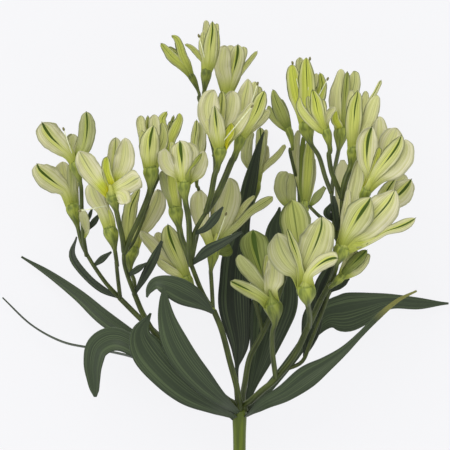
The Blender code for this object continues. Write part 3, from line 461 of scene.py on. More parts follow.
blooms["bloom_d2"] = {
    "ray": "ray_c", "base": (241, 137, 76), "aim": (248, 112, 3), "core": (2.3, 8), "ovary": 2.9,
    "stalk": 1.7,
    "pedicel": [(206, 212, 83.5), (216, 197, 80), (224, 180, 77), (231.5, 162, 75.5)],
    "stamens": [(257.5, 84, 6, 1)],
    "tepals": [
        (3, -0.5, 0.3, 0.05, 0,
         [(243, 126, 10), (243.5, 112, 14), (245, 98, 17), (247.5, 86, 11), (248, 79.5, 4)]),
        (-6, -0.75, 0.1, 0.3, 0, [(247, 118, 9), (251, 100, 12), (254, 88, 9), (255, 82, 6)]),
        (11, 0.8, 0.8, 0.65, 0.05, [(248, 127, 10), (256, 113, 14), (260.5, 101, 13), (264, 92, 5)]),
        (-3, -0.4, 0, 0.25, 0, [(247, 134, 5), (256, 125, 8), (264, 116, 10), (269.5, 110.5, 5)]),
        (-11, -0.6, 0.1, 0.4, 0.05, [(250, 118, 8), (256, 103, 9), (259, 87, 7)]),
    ],
}
blooms["bloom_e"] = {
    "ray": "ray_a", "base": (74.5, 162, 44), "aim": (68, 140, 2), "core": (2.2, 8), "ovary": 3.2,
    "pedicel": [(86, 256, 28), (83, 236, 34), (81.5, 212, 39), (81, 190, 42)],
    "stamens": [(63.5, 129, 10, 2)],
    "tepals": [
        (14, 0.75, 0.8, 0.05, 0.05,
         [(69, 155, 12), (60.5, 146, 20), (52, 138, 24), (46, 130, 22), (42, 122.5, 11)]),
        (3, 0.6, 0.85, 0.2, 0.5,
         [(79.5, 155, 10), (84, 146, 15), (86.5, 134, 17), (87, 122, 15), (86, 112, 9)]),
        (-12, -0.6, 0.1, 0, 0.35, [(72, 150, 8), (72, 141, 11), (71.5, 134, 8)]),
        (-8, -0.6, 0.1, 0.3, 0, [(66, 150, 9), (61, 142, 8), (59, 136.5, 5)]),
        (-9, -0.5, 0.2, 0.4, 0.1, [(77, 148, 6), (81, 136, 7), (83, 127, 4)]),
    ],
}
blooms["bloom_f"] = {
    "ray": "ray_a", "base": (71.5, 205, 22), "aim": (66, 184, 0), "core": (2.5, 9.5), "ovary": 3.8,
    "pedicel": [(87, 256, 27.5), (81, 243, 24)],
    "tepals": [
        (11, 0.75, 0.8, 0.1, 0.1,
         [(65, 191, 14), (55, 183, 22), (46, 176, 24), (39, 169.5, 17), (36.5, 164, 7)]),
        (-5, -0.75, 0.1, 0, 0.1, [(67, 187, 12), (63.5, 175, 16), (62, 167, 15), (61.5, 161.5, 10)]),
        (8, 0.5, 0.5, 0.2, 0.45, [(71.5, 190, 9), (71, 178, 9), (70, 170, 7), (69.5, 164, 4)]),
        (-12, -0.6, 0.1, 0.3, 0, [(62, 188, 9), (54, 176, 8), (50, 171, 5)]),
        (-13, -0.6, 0.1, 0.5, 0.2, [(73, 190, 9), (74, 180, 8), (74, 174, 6)]),
    ],
}
blooms["bloom_g"] = {
    "ray": "ray_b", "base": (112.5, 194, 79), "aim": (108, 176, 9), "core": (2.3, 7), "ovary": 3.7,
    "stalk": 1.35, "throat": 2,
    "pedicel": [(124, 252, 65), (122.5, 238, 70), (119, 222, 74)],
    "stamens": [(80, 211, -8, 2, 107, 206, -14)],
    "tepals": [
        (8, -0.5, 0.3, 0, 0, [(104, 188, 12), (97, 179, 18), (90, 169, 22), (84, 159, 19), (80, 151.5, 9)]),
        (-1, -0.7, 0.5, 0.05, 0.15, [(112, 180, 10), (114, 164, 14), (115.5, 149, 14), (116, 138, 9)]),
        (4, -0.6, 0.1, 0, 0,
         [(117, 181, 12), (123, 167, 20), (125.5, 155, 20), (125.5, 145, 14), (124.5, 139, 7)]),
        (14, 0.35, 0.3, 0, 0, [(117, 190, 14), (127, 185, 19), (135, 180, 20), (140, 177.5, 14)]),
        (13, 0.4, 0.1, 0, 0, [(116, 193, 12), (123, 196, 15), (126, 204, 10)]),
        (8, -0.6, 0.4, 0.9, 0, [(110, 182, 10), (107, 171, 10), (106.5, 162, 8.5), (107.5, 157, 5)]),
    ],
}
blooms["bloom_g2"] = {
    "ray": "ray_a", "base": (109.5, 229, 54), "aim": (103, 207, 2), "core": (2.5, 11), "ovary": 3.9,
    "pedicel": [(117, 266, 41)],
    "tepals": [
        (8, 0.6, 0.1, 0, 0.05,
         [(106, 219, 12), (102, 209, 13), (97.5, 202, 17), (94, 195, 17), (92, 188, 13), (91, 183, 7)]),
        (4, 0.7, 0.1, 0.75, 0, [(108.5, 218, 11), (104, 208, 11), (101, 199, 10), (98, 190, 7)]),
        (-5, -0.6, 0.1, 0.7, 0, [(106, 212, 8), (104, 199, 8), (103, 189, 6)]),
        (-7, -0.6, 0, 0.3, 0, [(102, 210, 8), (96, 202, 8), (93, 197, 6)]),
    ],
}
blooms["bloom_h"] = {
    "ray": "ray_b", "base": (151, 168, 82), "aim": (150, 142, 4), "core": (2.9, 12), "ovary": 4.1,
    "stalk": 1.4,
    "pedicel": [(124.5, 253, 65), (130, 238, 69), (139, 219, 74), (147, 200, 78)],
    "tepals": [
        (-4, -0.6, 0.1, 0.3, 0, [(147, 152, 9), (143, 136, 9), (141, 124, 9), (141, 116, 7)]),
        (-9, -0.7, 1, 0.6, 0.2, [(149, 150, 8), (148, 134, 9), (148, 122, 5), (148, 116.5, 2.5)]),
        (-6, -0.7, 0.1, 0.1, 0.05, [(153, 150, 10), (154.5, 134, 12), (154.5, 122, 11), (154.5, 115, 7)]),
        (12, 0.85, 1, 0.5, 0.05, [(149.5, 158, 17), (150, 147, 21), (151, 137, 17), (153.5, 127, 6)]),
        (6, 0.5, 0.2, 0.5, 0.05, [(146, 156, 9), (142.5, 144, 6), (142, 131, 5)]),
        (4, 0.4, 0.5, 0.5, 0.2, [(156, 155, 12), (162, 144, 12), (164, 134, 8), (162, 123.5, 4)]),
    ],
}
blooms["bloom_i"] = {
    "ray": "ray_b", "base": (169, 150, 49), "aim": (171, 132, 1), "core": (2.6, 9), "ovary": 2.1,
    "stalk": 0.85,
    "pedicel": [(124.5, 254, 63), (134, 241, 59), (143, 219, 54), (150.5, 196, 49), (159, 177, 48)],
    "tepals": [
        (3, 0.7, 0.7, 0.75, 0.1, [(167.5, 140, 8), (163.5, 128, 8), (162, 119, 8), (166.5, 112, 4)]),
        (4.5, 0.75, 0.3, 0.75, 0.1, [(171, 140, 9), (175, 129, 11), (179, 120, 8), (179.5, 113.5, 4)]),
        (-4, -0.5, 1, 0.5, 0.3, [(171, 134, 6), (172, 124, 4.5), (173.5, 116, 2.5)]),
        (-9, -0.7, 0.1, 0.6, 0.1, [(170, 136, 9), (171, 126, 8), (172, 121, 5)]),
    ],
}
blooms["bloom_j"] = {
    "ray": "ray_c", "base": (184, 182, 90), "aim": (183, 160, 6), "core": (2.6, 8), "ovary": 3.5,
    "stalk": 1.5,
    "pedicel": [(191, 266, 76), (189.5, 246, 80), (189, 222, 84)],
    "tepals": [
        (15, -0.3, 0, 0, 0,
         [(177, 175, 8), (170, 169, 13), (166, 161.5, 15), (165, 154, 13.5), (165, 149, 9)]),
        (-4, -0.5, 0.1, 0.5, 0, [(179, 172, 6), (174, 160, 7), (172.5, 150, 6), (172, 142.5, 3.5)]),
        (13, 0.8, 1, 0.15, 0,
         [(182.5, 172, 16), (182, 160, 22), (181, 151, 21), (180.5, 145, 14), (180, 142, 6)]),
        (-4, -0.5, 0, 0, 0.15, [(190, 178, 12), (196, 171, 18), (201, 161, 15), (204, 151.5, 6)]),
        (16, 0.4, 1, 0.8, 0.5, [(189, 171.5, 2.5), (194.5, 164, 4), (198.5, 158.5, 4), (201.5, 154.5, 2)]),
        (-2, -0.7, 0, 0.1, 0.05, [(188, 168, 14), (190.5, 155, 18), (189, 143, 13)]),
    ],
}
blooms["bloom_j2"] = {
    "ray": "ray_c", "base": (197, 164, 50), "aim": (198.5, 144, 0), "core": (2.3, 8), "ovary": 2.4,
    "stalk": 0.9,
    "pedicel": [(192, 262, 74), (195, 246, 57), (198.5, 228, 39), (199.5, 206, 36), (198.5, 189, 43)],
    "tepals": [
        (4.5, 0.6, 0.8, 0.4, 0.25,
         [(195.5, 155, 8), (194.5, 142, 8), (196, 130, 7.5), (196.5, 120.5, 3.5)]),
        (1.5, 0.6, 0.1, 0.05, 0.3, [(198.5, 154, 9), (200.5, 142, 11), (201, 131, 9), (200, 122, 5)]),
        (-9, -0.7, 0.1, 0.1, 0.2, [(199, 150, 9), (199, 138, 9), (199, 129, 6)]),
        (-4, -0.4, 0, 0.1, 0.3, [(201, 154, 6), (203.5, 146, 5), (204.5, 139, 3.5)]),
    ],
}
blooms["bloom_k"] = {
    "ray": "ray_c", "base": (175, 208, 66), "aim": (171, 190, 1), "core": (2.7, 11), "ovary": 3.8,
    "stalk": 1.6,
    "pedicel": [(191, 265, 75.5), (186.5, 251, 71), (181.5, 238, 67)],
    "tepals": [
        (4.5, 0.6, 0, 0, 0.55, [(171.5, 198, 10), (166.5, 187, 11), (163.5, 177, 8), (162, 171, 6)]),
        (4.5, 0.8, 0.1, 0.75, 0.15, [(174.5, 198, 10), (172.5, 186, 12), (172, 175, 11), (172, 168.5, 8)]),
        (-8, -0.8, 0, 0.3, 0.3, [(170, 192, 10), (167, 179, 9), (166, 170, 7)]),
        (-5, -0.5, 0, 0.7, 0.2, [(178, 196, 7), (180, 186, 6), (180, 177, 4)]),
    ],
}
blooms["bloom_l"] = {
    "ray": "ray_d", "base": (288, 128, 46), "aim": (281, 108, 1), "core": (3.8, 16), "ovary": 1.9,
    "stalk": 0.9,
    "pedicel": [(299.8, 218, 20), (299, 190, 29), (294.5, 170, 36), (290, 150, 43)],
    "tepals": [
        (1.5, 0.85, 0.7, 0.6, 0.6, [(285, 122, 11), (280.5, 111, 14), (276, 100, 10), (273, 90, 4)]),
        (-1.5, 0.4, 0.2, 0.6, 0.7, [(287, 120, 7), (284.5, 110, 7), (280.5, 99, 5)]),
        (1.5, 0.4, 0.2, 0.5, 0.5, [(280, 124, 7), (272, 115, 8), (268.5, 106, 4)]),
        (-6, -0.8, 0.2, 0.5, 0.5, [(283, 116, 11), (277, 103, 9), (275, 93, 4)]),
    ],
}
blooms["bloom_l2"] = {
    "ray": "ray_b", "base": (132.5, 248, 42), "aim": (139, 225, 1), "core": (2.6, 10), "ovary": 3.9,
    "pedicel": [(134.5, 294, 51.5), (134, 281, 47)],
    "tepals": [
        (6, 0.8, 0.8, 0.55, 0.15,
         [(128, 232, 12), (129, 219, 14), (131, 206, 13), (135.5, 196, 8), (139, 188.5, 3.5)]),
        (3, 0.2, 0.2, 0, 0,
         [(139, 235, 10), (147, 222, 17), (154, 208, 21), (158, 197, 16), (157.5, 189.5, 7)]),
        (-11, -0.75, 0.1, 0.2, 0.1, [(138, 228, 10), (146, 212, 11), (150, 197, 8)]),
        (-7, -0.5, 0.1, 0.4, 0.1, [(126, 232, 7), (124.5, 218, 6), (126.5, 207, 4)]),
        (6, 0.5, 0.1, 0.5, 0.1, [(137, 230, 6), (142.5, 217, 6), (148, 204, 4)]),
    ],
}
blooms["bloom_m"] = {
    "ray": "ray_e", "base": (306.5, 123, 62), "aim": (304, 96, 3), "core": (2.9, 11), "ovary": 4.3,
    "stalk": 0.9,
    "pedicel": [(331, 193, 79), (325, 177, 76), (319, 157, 71)],
    "stamens": [(327.6, 79, 2, 0), (309.8, 59, 8, 2), (292.5, 63, 2, 1)],
    "tepals": [
        (3, 0.7, 0.2, 0.85, 0.05,
         [(301.5, 110, 13), (297, 96, 16), (294, 82, 15), (292.5, 72, 12), (292, 65, 7)]),
        (-6, -0.75, 0.3, 0.2, 0.2,
         [(303, 108, 10), (301, 90, 11), (300, 72, 10), (299.8, 62, 8), (300, 57.5, 6)]),
        (11, 0.85, 0.6, 0.8, 0.1,
         [(306, 108, 14), (307, 92, 17), (306.5, 76, 16), (306, 66, 11), (306, 58.5, 5)]),
        (1.5, 0.5, 0.8, 0.8, 0.3,
         [(312, 110, 10), (318, 98, 13), (322, 86, 10), (321, 77.5, 6), (320, 73.5, 3.5)]),
        (-8, -0.6, 0.1, 0.25, 0.1, [(311, 104, 10), (314, 88, 11), (316, 79, 8), (316.5, 73.5, 5)]),
        (-2, 0.3, 0.9, 0.5, 0.5, [(316, 108, 6), (322.5, 98, 6), (324.8, 87, 4)]),
    ],
}
blooms["bloom_m2"] = {
    "ray": "ray_c", "base": (186, 277, 50), "aim": (177, 256, 2), "core": (2.6, 9), "ovary": 2.9,
    "pedicel": [(208, 304, 69), (202, 298, 60)],
    "tepals": [
        (8, 0.8, 0.9, 0.5, 0.3,
         [(182, 266, 13), (176, 252, 21), (171, 240, 20), (168.5, 231, 13), (168, 225, 7)]),
        (-3, -0.6, 0, 0.1, 0.1,
         [(174, 268, 9), (162, 256, 12), (152, 244, 13), (143.5, 235, 9), (141, 231, 5)]),
        (4.5, 0.4, 0, 0.35, 0.1, [(180, 275, 7), (170, 270, 9), (162, 264, 8), (157.5, 260, 5)]),
        (-9, -0.7, 0, 0.2, 0.1, [(178, 262, 10), (165, 246, 11), (156, 233, 8)]),
        (3, 0.4, 0.1, 0.5, 0.2, [(184, 264, 6), (180.5, 248, 6), (177, 234, 4)]),
    ],
}
blooms["bloom_n"] = {
    "ray": "ray_e", "base": (325, 130, 88), "aim": (319, 112, 3), "core": (2.4, 8), "ovary": 2.5,
    "stalk": 1.3,
    "pedicel": [(341.5, 198, 81), (336, 184, 82), (331, 171, 83.5), (328.5, 155, 85)],
    "tepals": [
        (10, 0.6, 0, 0.6, 0,
         [(318, 129, 7), (309, 120.5, 9), (302.5, 112.5, 9), (299, 105, 7), (299.5, 97.5, 2.5)]),
        (13, 0.85, 0.7, 0.8, 0,
         [(321, 122, 9), (317.5, 112, 14), (315.5, 102, 12), (313.5, 95, 7), (312, 90.5, 3)]),
        (0, -0.5, 0, 0.15, 0.05, [(325.5, 123, 6), (329, 114, 8), (335, 108, 5)]),
        (-9, -0.7, 0.1, 0.5, 0, [(321, 118, 10), (322, 108, 9), (322, 100, 6)]),
        (-5, -0.6, 0.7, 0.4, 0.1, [(314, 118, 7), (309, 106, 6), (308, 97, 4.5)]),
    ],
}
blooms["bloom_n2"] = {
    "ray": "ray_c", "base": (214, 250, 46), "aim": (218, 228, -1), "core": (2.6, 9), "ovary": 3,
    "throat": 0.5,
    "pedicel": [(213, 309, 68), (212, 291, 58), (211, 275, 51)],
    "stamens": [(226, 214, 4, 2)],
    "tepals": [
        (-3, 0.7, 0, 0.1, 0.05,
         [(208, 238, 10), (202.5, 224, 15), (199.5, 208, 19), (199.5, 196, 16), (200, 190, 10)]),
        (-5, -0.6, 0.1, 0, 0.2,
         [(217, 236, 12), (223, 220, 20), (228, 203, 25), (230.5, 189, 19), (229.5, 178, 10)]),
        (3, 0.6, 0.5, 0.45, 0.4,
         [(225, 236, 6), (238, 224.5, 7), (250, 212, 8), (262, 204, 9.5), (270, 199, 7), (272.5, 197, 4)]),
        (-4, -0.5, 0.2, 0.4, 0.1, [(230, 226, 5), (240, 212, 6), (247, 203, 6), (254.5, 196, 3)]),
        (-12, -0.7, 0.1, 0.3, 0.2, [(215, 228, 10), (216, 208, 10), (217, 190, 7)]),
        (-11, -0.6, 0, 0.2, 1, [(219, 251, 10), (225.5, 250, 14), (231, 248, 12)]),
    ],
}
blooms["bloom_o"] = {
    "ray": "ray_e", "base": (341.5, 129, 40), "aim": (344, 104, -1), "core": (2.8, 10), "ovary": 3.7,
    "pedicel": [(331.5, 194, 78.5), (333, 180, 66), (336, 163, 53)],
    "tepals": [
        (3, 0.7, 0.1, 0.25, 0,
         [(339, 118, 13), (338.5, 104, 19), (339, 90, 17), (340.5, 79, 11), (341.5, 69, 7)]),
        (-3, 0.5, 0.3, 0.4, 0.2,
         [(347, 112, 10), (351, 97, 13), (354.5, 83, 13), (355, 74, 10), (354, 71, 7)]),
        (7, 0.6, 0, 0.9, 0, [(339, 126, 8), (335.5, 119, 9), (336, 111, 5)]),
        (5, 0.6, 1, 0.6, 0.5, [(345, 108, 8), (346, 92, 8), (347, 79, 6), (347.5, 72, 3)]),
        (-12, -0.7, 0.1, 0.2, 0.1, [(342, 108, 12), (345, 90, 13), (347, 76, 9)]),
    ],
}
blooms["bloom_p"] = {
    "ray": "ray_e", "base": (353.5, 148, 83), "aim": (356, 124, 4), "core": (2.7, 9), "ovary": 3.5,
    "stalk": 1.7, "rolls": {2: 30},
    "pedicel": [(341.5, 199, 81), (345, 181, 83)],
    "tepals": [
        (11, 0.85, 0.85, 0.7, 0.1,
         [(352.5, 136, 13), (353.5, 122, 17), (354.5, 108, 15), (356.5, 98, 10), (357, 92, 3.5)]),
        (5, 0.5, 0.05, 0.35, 0,
         [(362, 134, 10), (368.5, 120, 15), (372.5, 107, 14), (375.5, 99, 9), (376.5, 95.5, 4)]),
        (-3, 0.2, 0.7, 0.3, 0.1, [(362, 118, 4), (368, 104, 4), (374.5, 92.5, 4), (380.5, 81, 3.5)]),
        (-8, -0.6, 0.1, 0.25, 0, [(350, 120, 8), (350, 104, 8), (351.5, 90.5, 5)]),
        (-5, -0.6, 0.1, 0.3, 0, [(361, 116, 9), (364.5, 102, 9), (365.5, 91.5, 5)]),
    ],
}
blooms["bloom_q"] = {
    "ray": "ray_e", "base": (366, 190, 95), "aim": (374, 168, 7), "core": (2.4, 8), "ovary": 2.9,
    "throat": 0.9,
    "pedicel": [(337, 258, 74), (346, 237, 76), (357, 213, 82)],
    "tepals": [
        (0, -0.5, 1, 0, 0,
         [(369, 176, 10), (366.5, 162, 18), (366.5, 148, 22), (368, 137, 19), (371, 127.5, 8)]),
        (-9, -0.6, 0, 0, 0.1, [(374, 165, 10), (378, 146, 15), (379.5, 130, 14), (379, 117, 8)]),
        (-6, -0.6, 0.1, 0, 0.05,
         [(377, 170, 10), (384, 156, 17), (389, 144, 23), (393.5, 134, 18), (396, 128.5, 8)]),
        (16, 0.5, 1, 0.5, 0,
         [(373, 178, 9), (382, 166, 15), (390.5, 155, 17), (397, 145, 13), (400, 136.5, 4)]),
        (10, 0.5, 0, 0, 0,
         [(378, 178, 14), (389, 170, 24), (398, 160, 27), (403, 150, 22), (403.5, 140.5, 11)]),
        (4, -0.6, 0, 0.8, 0, [(372, 172, 6), (376, 160, 7), (379, 148, 5)]),
    ],
}
blooms["bloom_r"] = {
    "ray": "ray_e", "base": (373, 214, 46), "aim": (386, 200, 1), "core": (2.4, 8), "ovary": 2.7,
    "pedicel": [(335, 266, 73), (343, 250, 63), (355, 234, 53)],
    "tepals": [
        (4.5, 0.7, 0.9, 0.5, 0.15, [(379, 205, 9), (384, 196, 14), (389.5, 187, 12), (395, 179, 4)]),
        (1.5, 0.7, 0.9, 0, 0.05,
         [(385, 206, 12), (394, 199, 22), (402, 192, 25), (408, 185, 17), (411.5, 179.5, 5)]),
        (-9, -0.7, 0, 0.05, 0.1, [(389, 196, 9), (397, 185, 12), (403.5, 178, 10), (405, 174.5, 6)]),
        (7, 0.4, 0.1, 0.2, 0.1, [(384, 203, 6), (389, 195, 6), (391.5, 190, 4)]),
        (-6, -0.5, 0, 0.15, 0.1, [(388, 208, 8), (396, 203, 9), (404, 203, 6)]),
    ],
}
blooms["bloom_s"] = {
    "ray": "ray_e", "base": (343, 247, 97), "aim": (350.5, 230, 5), "core": (2.4, 8), "ovary": 4.5,
    "pedicel": [(331, 281, 72), (335, 270, 82)],
    "tepals": [
        (-8, -0.7, 0, 0.2, 0.15, [
            (347, 228, 9), (349.5, 212, 12), (353.5, 196, 14), (357, 178, 14), (358.5, 166, 10),
            (358.3, 159, 5),
        ]),
        (15, 0.85, 1, 0.35, 0.2,
         [(346, 237, 14), (352.5, 226, 25), (360, 213.5, 28), (366.5, 204, 16), (369.5, 198.5, 4)]),
        (7, 0.7, 0.6, 0, 0,
         [(353, 237, 15), (365, 227, 28), (378, 214, 33), (388, 202, 26), (394, 190.5, 7)]),
        (2, 0.6, 1, 0.25, 0.05,
         [(372, 239, 7), (385, 231.5, 7), (398, 227, 11), (407, 223, 10), (414, 218.5, 4)]),
        (0, -0.5, 0, 0.1, 0.05, [(343.5, 230, 8), (345, 215, 9), (347, 200, 7), (347.5, 190, 4)]),
        (2, 0.4, 0.1, 0.8, 0.3, [(350, 243.5, 8), (359, 243.5, 9), (367, 241, 6)]),
    ],
}
blooms["bloom_tf"] = {
    "ray": "ray_e", "base": (305.5, 286.5, 96), "aim": (303, 260, 6), "core": (2.5, 7.7), "ovary": 5.1,
    "throat": 0.5,
    "pedicel": [(309, 327, 62), (309.5, 316, 74)],
    "tepals": [
        (-4, -0.7, 0.35, 0.6, 0.45, [
            (301, 262, 13), (298.5, 245, 24), (296, 229, 30), (294, 216, 31), (292.5, 206, 20),
            (291.5, 200.5, 9),
        ]),
        (9, -0.5, 0.2, 0.1, 0.3,
         [(297, 272, 16), (289.5, 263, 27), (283, 253, 31), (279, 243, 25), (277, 234, 11)]),
        (13, -0.2, 1, 0.5, 0.2, [(300, 268, 6), (297, 256, 8.5), (292.5, 244, 9.5), (287.5, 230, 4)]),
        (9, -0.4, 0.6, 0.25, 0.15, [
            (304, 270, 17), (309.5, 257, 28), (315, 245, 35), (319, 234, 32), (321, 226, 26),
            (321, 218, 15),
        ]),
        (17, 0.3, 1, 0.1, 0,
         [(308, 276, 9), (315, 267.5, 13), (324, 261, 15), (332, 258, 13), (337, 258, 7)]),
        (4, -0.7, 0.1, 0.6, 0, [(303, 265, 7), (303, 252, 7), (305, 238, 5)]),
    ],
}
blooms["bloom_tl"] = {
    "ray": "ray_e", "base": (272.2, 303.5, 84), "aim": (266, 276, 5), "core": (2.4, 8), "ovary": 4.9,
    "throat": 0.5, "tone": 0.45,
    "pedicel": [(276, 379, 46), (272.5, 352, 64), (272.5, 332, 76)],
    "tepals": [
        (-4, -0.7, 1, 0.4, 0.85,
         [(265, 282, 12), (260, 266, 20), (256, 251, 28), (254, 240, 28), (253, 230.5, 16)]),
        (8, -0.4, 0, 0.3, 0.45,
         [(261, 285, 10), (252.5, 275, 14), (245, 266, 14.5), (240.5, 259.5, 11), (239.5, 255, 6)]),
        (16, -0.3, 1, 0.45, 0.35,
         [(261, 297, 11), (251, 291, 14), (241, 286, 12), (233, 282, 8), (231, 281, 4)]),
        (10, -0.5, 0.1, 0, 0.15, [(271, 290, 13), (273.5, 279, 20), (274, 268, 17), (271.5, 258, 10)]),
        (0, -0.6, 0.1, 0.5, 0.2, [(267, 282, 7), (266, 268, 7), (267, 255, 5)]),
    ],
}
blooms["bloom_u"] = {
    "ray": "ray_d", "base": (293, 206, 17.6), "aim": (289, 190, -1), "core": (2.4, 8), "ovary": 2.6,
    "pedicel": [(297.5, 229, 19)],
    "tepals": [
        (1.5, 0.7, 0, 0.1, 0.5, [(287, 200, 13), (283, 189, 17), (283, 178, 14), (287, 171.5, 8)]),
        (6, 0.8, 0, 0.3, 0.45, [(292, 198, 9), (291.5, 186, 10), (292.5, 174, 6)]),
        (-6, -0.5, 0, 0, 0.4, [(284, 198, 11), (279, 188, 10), (279.5, 180, 7)]),
        (-11, -0.7, 0, 0.1, 0.4, [(289, 194, 11), (289, 181, 10), (290, 173, 7)]),
    ],
}
blooms["bloom_u2"] = {
    "ray": "ray_d", "base": (305.5, 202, 37), "aim": (307.5, 172, 1), "core": (2.8, 18), "ovary": 2.2,
    "pedicel": [(299.5, 219, 20)],
    "tepals": [
        (4.5, 0.85, 0.3, 0.75, 0.35, [(307, 185, 10), (308.5, 165, 12), (309.5, 148, 9), (310.5, 136, 4)]),
        (0, 0.5, 0, 1, 0.95, [(302.5, 190, 6), (302, 170, 5), (302.5, 150, 5), (304, 136, 4)]),
        (-8, -0.8, 0, 0.5, 0.4, [(307.5, 182, 9), (309, 160, 9), (310, 140, 5)]),
        (-1.5, 0.3, 0, 0, 0.35, [(311, 188, 6), (313.5, 172, 6), (314, 158, 4)]),
        (-5, -0.3, 0, 0.1, 0.25,
         [(301, 188, 5), (297, 172, 6), (295.5, 155, 8.5), (296.5, 141, 7.5), (299, 130, 4)]),
    ],
}
blooms["bloom_v"] = {
    "ray": "ray_e", "base": (343, 274.5, 82), "aim": (353, 264, 3), "core": (2.4, 7), "ovary": 2.4,
    "pedicel": [(328, 286, 71), (333, 283, 77)],
    "tepals": [
        (7.5, 0.85, 1, 0.6, 0.85, [(347, 269.5, 9), (353, 263.5, 12), (359.5, 257, 12), (366, 250.5, 5)]),
        (3, 0.5, 0, 0.3, 0.2, [(349, 274, 8), (357.5, 268.5, 10), (364.5, 260.5, 9), (368.5, 254, 4)]),
        (-8, -0.7, 0.1, 0.2, 0.1, [(349, 268, 10), (356, 261, 11), (361, 256, 8)]),
        (3, 0.4, 0.1, 0.2, 0.15, [(345, 265, 8), (350, 257, 10), (356.5, 250.5, 8)]),
    ],
}
blooms["bloom_w"] = {
    "ray": "ray_d", "base": (257, 182, 6.5), "aim": (258, 160, 1), "core": (2, 7), "ovary": 2.2,
    "pedicel": [
        (263, 333, 19.5), (258, 312, 17), (253.5, 294, 13), (253.7, 280, 8), (255.5, 266, 3.8),
        (251, 250, 2.4), (246, 230, 2.2), (246, 214, 3), (251, 197, 5),
    ],
    "tepals": [
        (1, 0.5, 0, 0.1, 0.5, [(254, 172, 6), (247, 158, 11), (248, 143, 10), (252.5, 131, 5)]),
        (2, 0.7, 0.9, 0.4, 0.4, [(258, 168, 8), (260.5, 152, 10), (261, 138, 10), (260.5, 127.5, 7)]),
        (-1, -0.5, 0, 0, 0.2, [(260, 170, 7), (265.5, 157, 8), (267, 145, 4)]),
        (0, 0.4, 0, 0, 0.35, [(262, 166, 4), (265, 145, 4), (266.5, 129, 4)]),
        (1, 0.4, 0.2, 0.35, 0.3, [(260, 173, 5), (268, 164, 6.5), (278, 155, 6.5), (285.5, 144.5, 4)]),
    ],
}


def bloomAxis(bloom):
    base = onPlan(*bloom["base"])
    aimX, aimY, rise = bloom["aim"]
    return base, (onPlan(aimX, aimY, bloom["base"][2] + rise) - base).normalized()


def tepalLine(bloom, rise, cup, rows):
    # a tepal's centre line, as rows of (point, width in mm) from its foot inside the ovary's top to its tip
    form = petalForm
    base, axis = bloomAxis(bloom)
    ovary = bloom["ovary"]
    shift = math.copysign(min(1.0, abs(cup) * 1.5), cup) * ovary * form["footShift"]
    foot = base + (axis * form["footDepth"] + Vector((0, 0, shift))) * mm
    spots = [onPlan(x, y, 0) for x, y, _ in rows]
    outward = Vector((spots[0].x - base.x, spots[0].y - base.y, 0))
    ahead = Vector((axis.x, axis.y, 0)).normalized()
    outward -= ahead * outward.dot(ahead)
    most = ovary * form["footSpread"] * mm
    foot += outward * (min(most, outward.length * 0.6) / max(outward.length, 1e-6))
    steps = [(Vector(b[:2]) - Vector(a[:2])).length for a, b in zip([foot] + spots, spots)]
    line = [(foot, ovary * form["footWidth"])]
    bulge = cup * bloom["core"][0] * form["cupLift"] + rise * form["riseLift"]
    for i, (x, y, width) in enumerate(rows):
        t = sum(steps[: i + 1]) / sum(steps)
        lift = 2 * (1 - t) * t * bulge + t * t * rise + shift * (1 - t) ** 3
        line.append((onPlan(x, y, bloom["base"][2] + lift), width * sheetPlan["step"]))
    return line


def addTepal(work, bloom, tepal, roll, seed):
    # one tepal: a blade along its line, cupped across, grooved along, wavy and frilled to a rounded end
    form = petalForm
    rise, cup, stripe, tint, olive, rows = tepal
    last = form["lineRows"] - 1
    fine = smoothRows(tepalLine(bloom, rise, cup, rows), form["lineRows"])
    reach = lengthOf([row[0] for row in fine]) / mm
    endLength = min(form["endMost"], form["endShape"] * fine[-1][1] / reach + 0.02)
    broad = max(row[1] for row in fine)
    tilt = math.radians(roll)
    side = math.copysign(1.0, cup)

    def place(v, s):
        # u is the way along the line, and close how far the rounded end has drawn in
        if s <= form["body"]:
            u, close = s / form["body"] * (1 - endLength), 1.0
        else:
            turn = (s - form["body"]) / (1 - form["body"]) * math.pi / 2
            u, close = 1 - endLength + endLength * math.sin(turn), max(form["endWidth"], math.cos(turn))
        at = min(u * last, last - 0.001)
        i = int(at)
        point = fine[i][0].lerp(fine[i + 1][0], at - i)
        width = fine[i][1] + (fine[i + 1][1] - fine[i][1]) * (at - i)
        line = (fine[min(i + 2, last)][0] - fine[max(i - 1, 0)][0]).normalized()
        across, normal = bladeSides(line, tilt)

        # the three kinds of unevenness grow towards the edges and away from the foot
        edge = v * v * min(1.0, u * 1.6)
        frillAlong, frillAcross = form["frillPitch"]
        waveAlong, waveAcross = form["wavePitch"]
        frill = noise.noise(Vector((u * frillAlong, v * frillAcross + seed * 3, seed)))
        ripple = noise.noise(Vector((v * waveAcross + seed * 7.1, u * waveAlong, seed)))
        flute = noise.noise(Vector((u * form["flutePitch"], v + seed * 2, seed + 9)))

        half = width * 0.5 * close * (1 + form["frill"] * edge * frill)
        half /= max(math.cos(tilt), 0.35)
        bow = form["bow"] + (form["footBow"] - form["bow"]) * max(0.0, 1 - u * form["footBowEnds"])
        aside = half * math.sin(v * bow) / math.sin(bow)
        depth = -side * half * (1 - math.cos(v * bow)) / math.sin(bow)
        depth += form["groove"] * math.cos(v * form["grooves"] + seed) * min(1.0, u * 3) * close
        depth += form["wave"] * broad * ripple * edge
        depth += form["flute"] * broad * edge * abs(v) * flute * u
        hook = max(0.0, u - form["hookFrom"]) / (1 - form["hookFrom"])
        ahead = form["hook"] * stripe * max(0.0, 1 - abs(v) * form["hookWidth"]) * hook
        return point + (across * aside + normal * depth + line * ahead) * mm

    throat = bloom.get("throat", 0.0) if cup < 0 else 0.0

    def mark(v, s):
        # read by the tepal's material: its stripe, lime tint and olive tint, the olive tint partly its own
        # colour and partly painted shade
        return (stripe, tint + throat * max(0.0, 1 - s * form["throatReach"]), olive, 1.0)

    addSheet(work, form["across"], form["along"], place, mark)


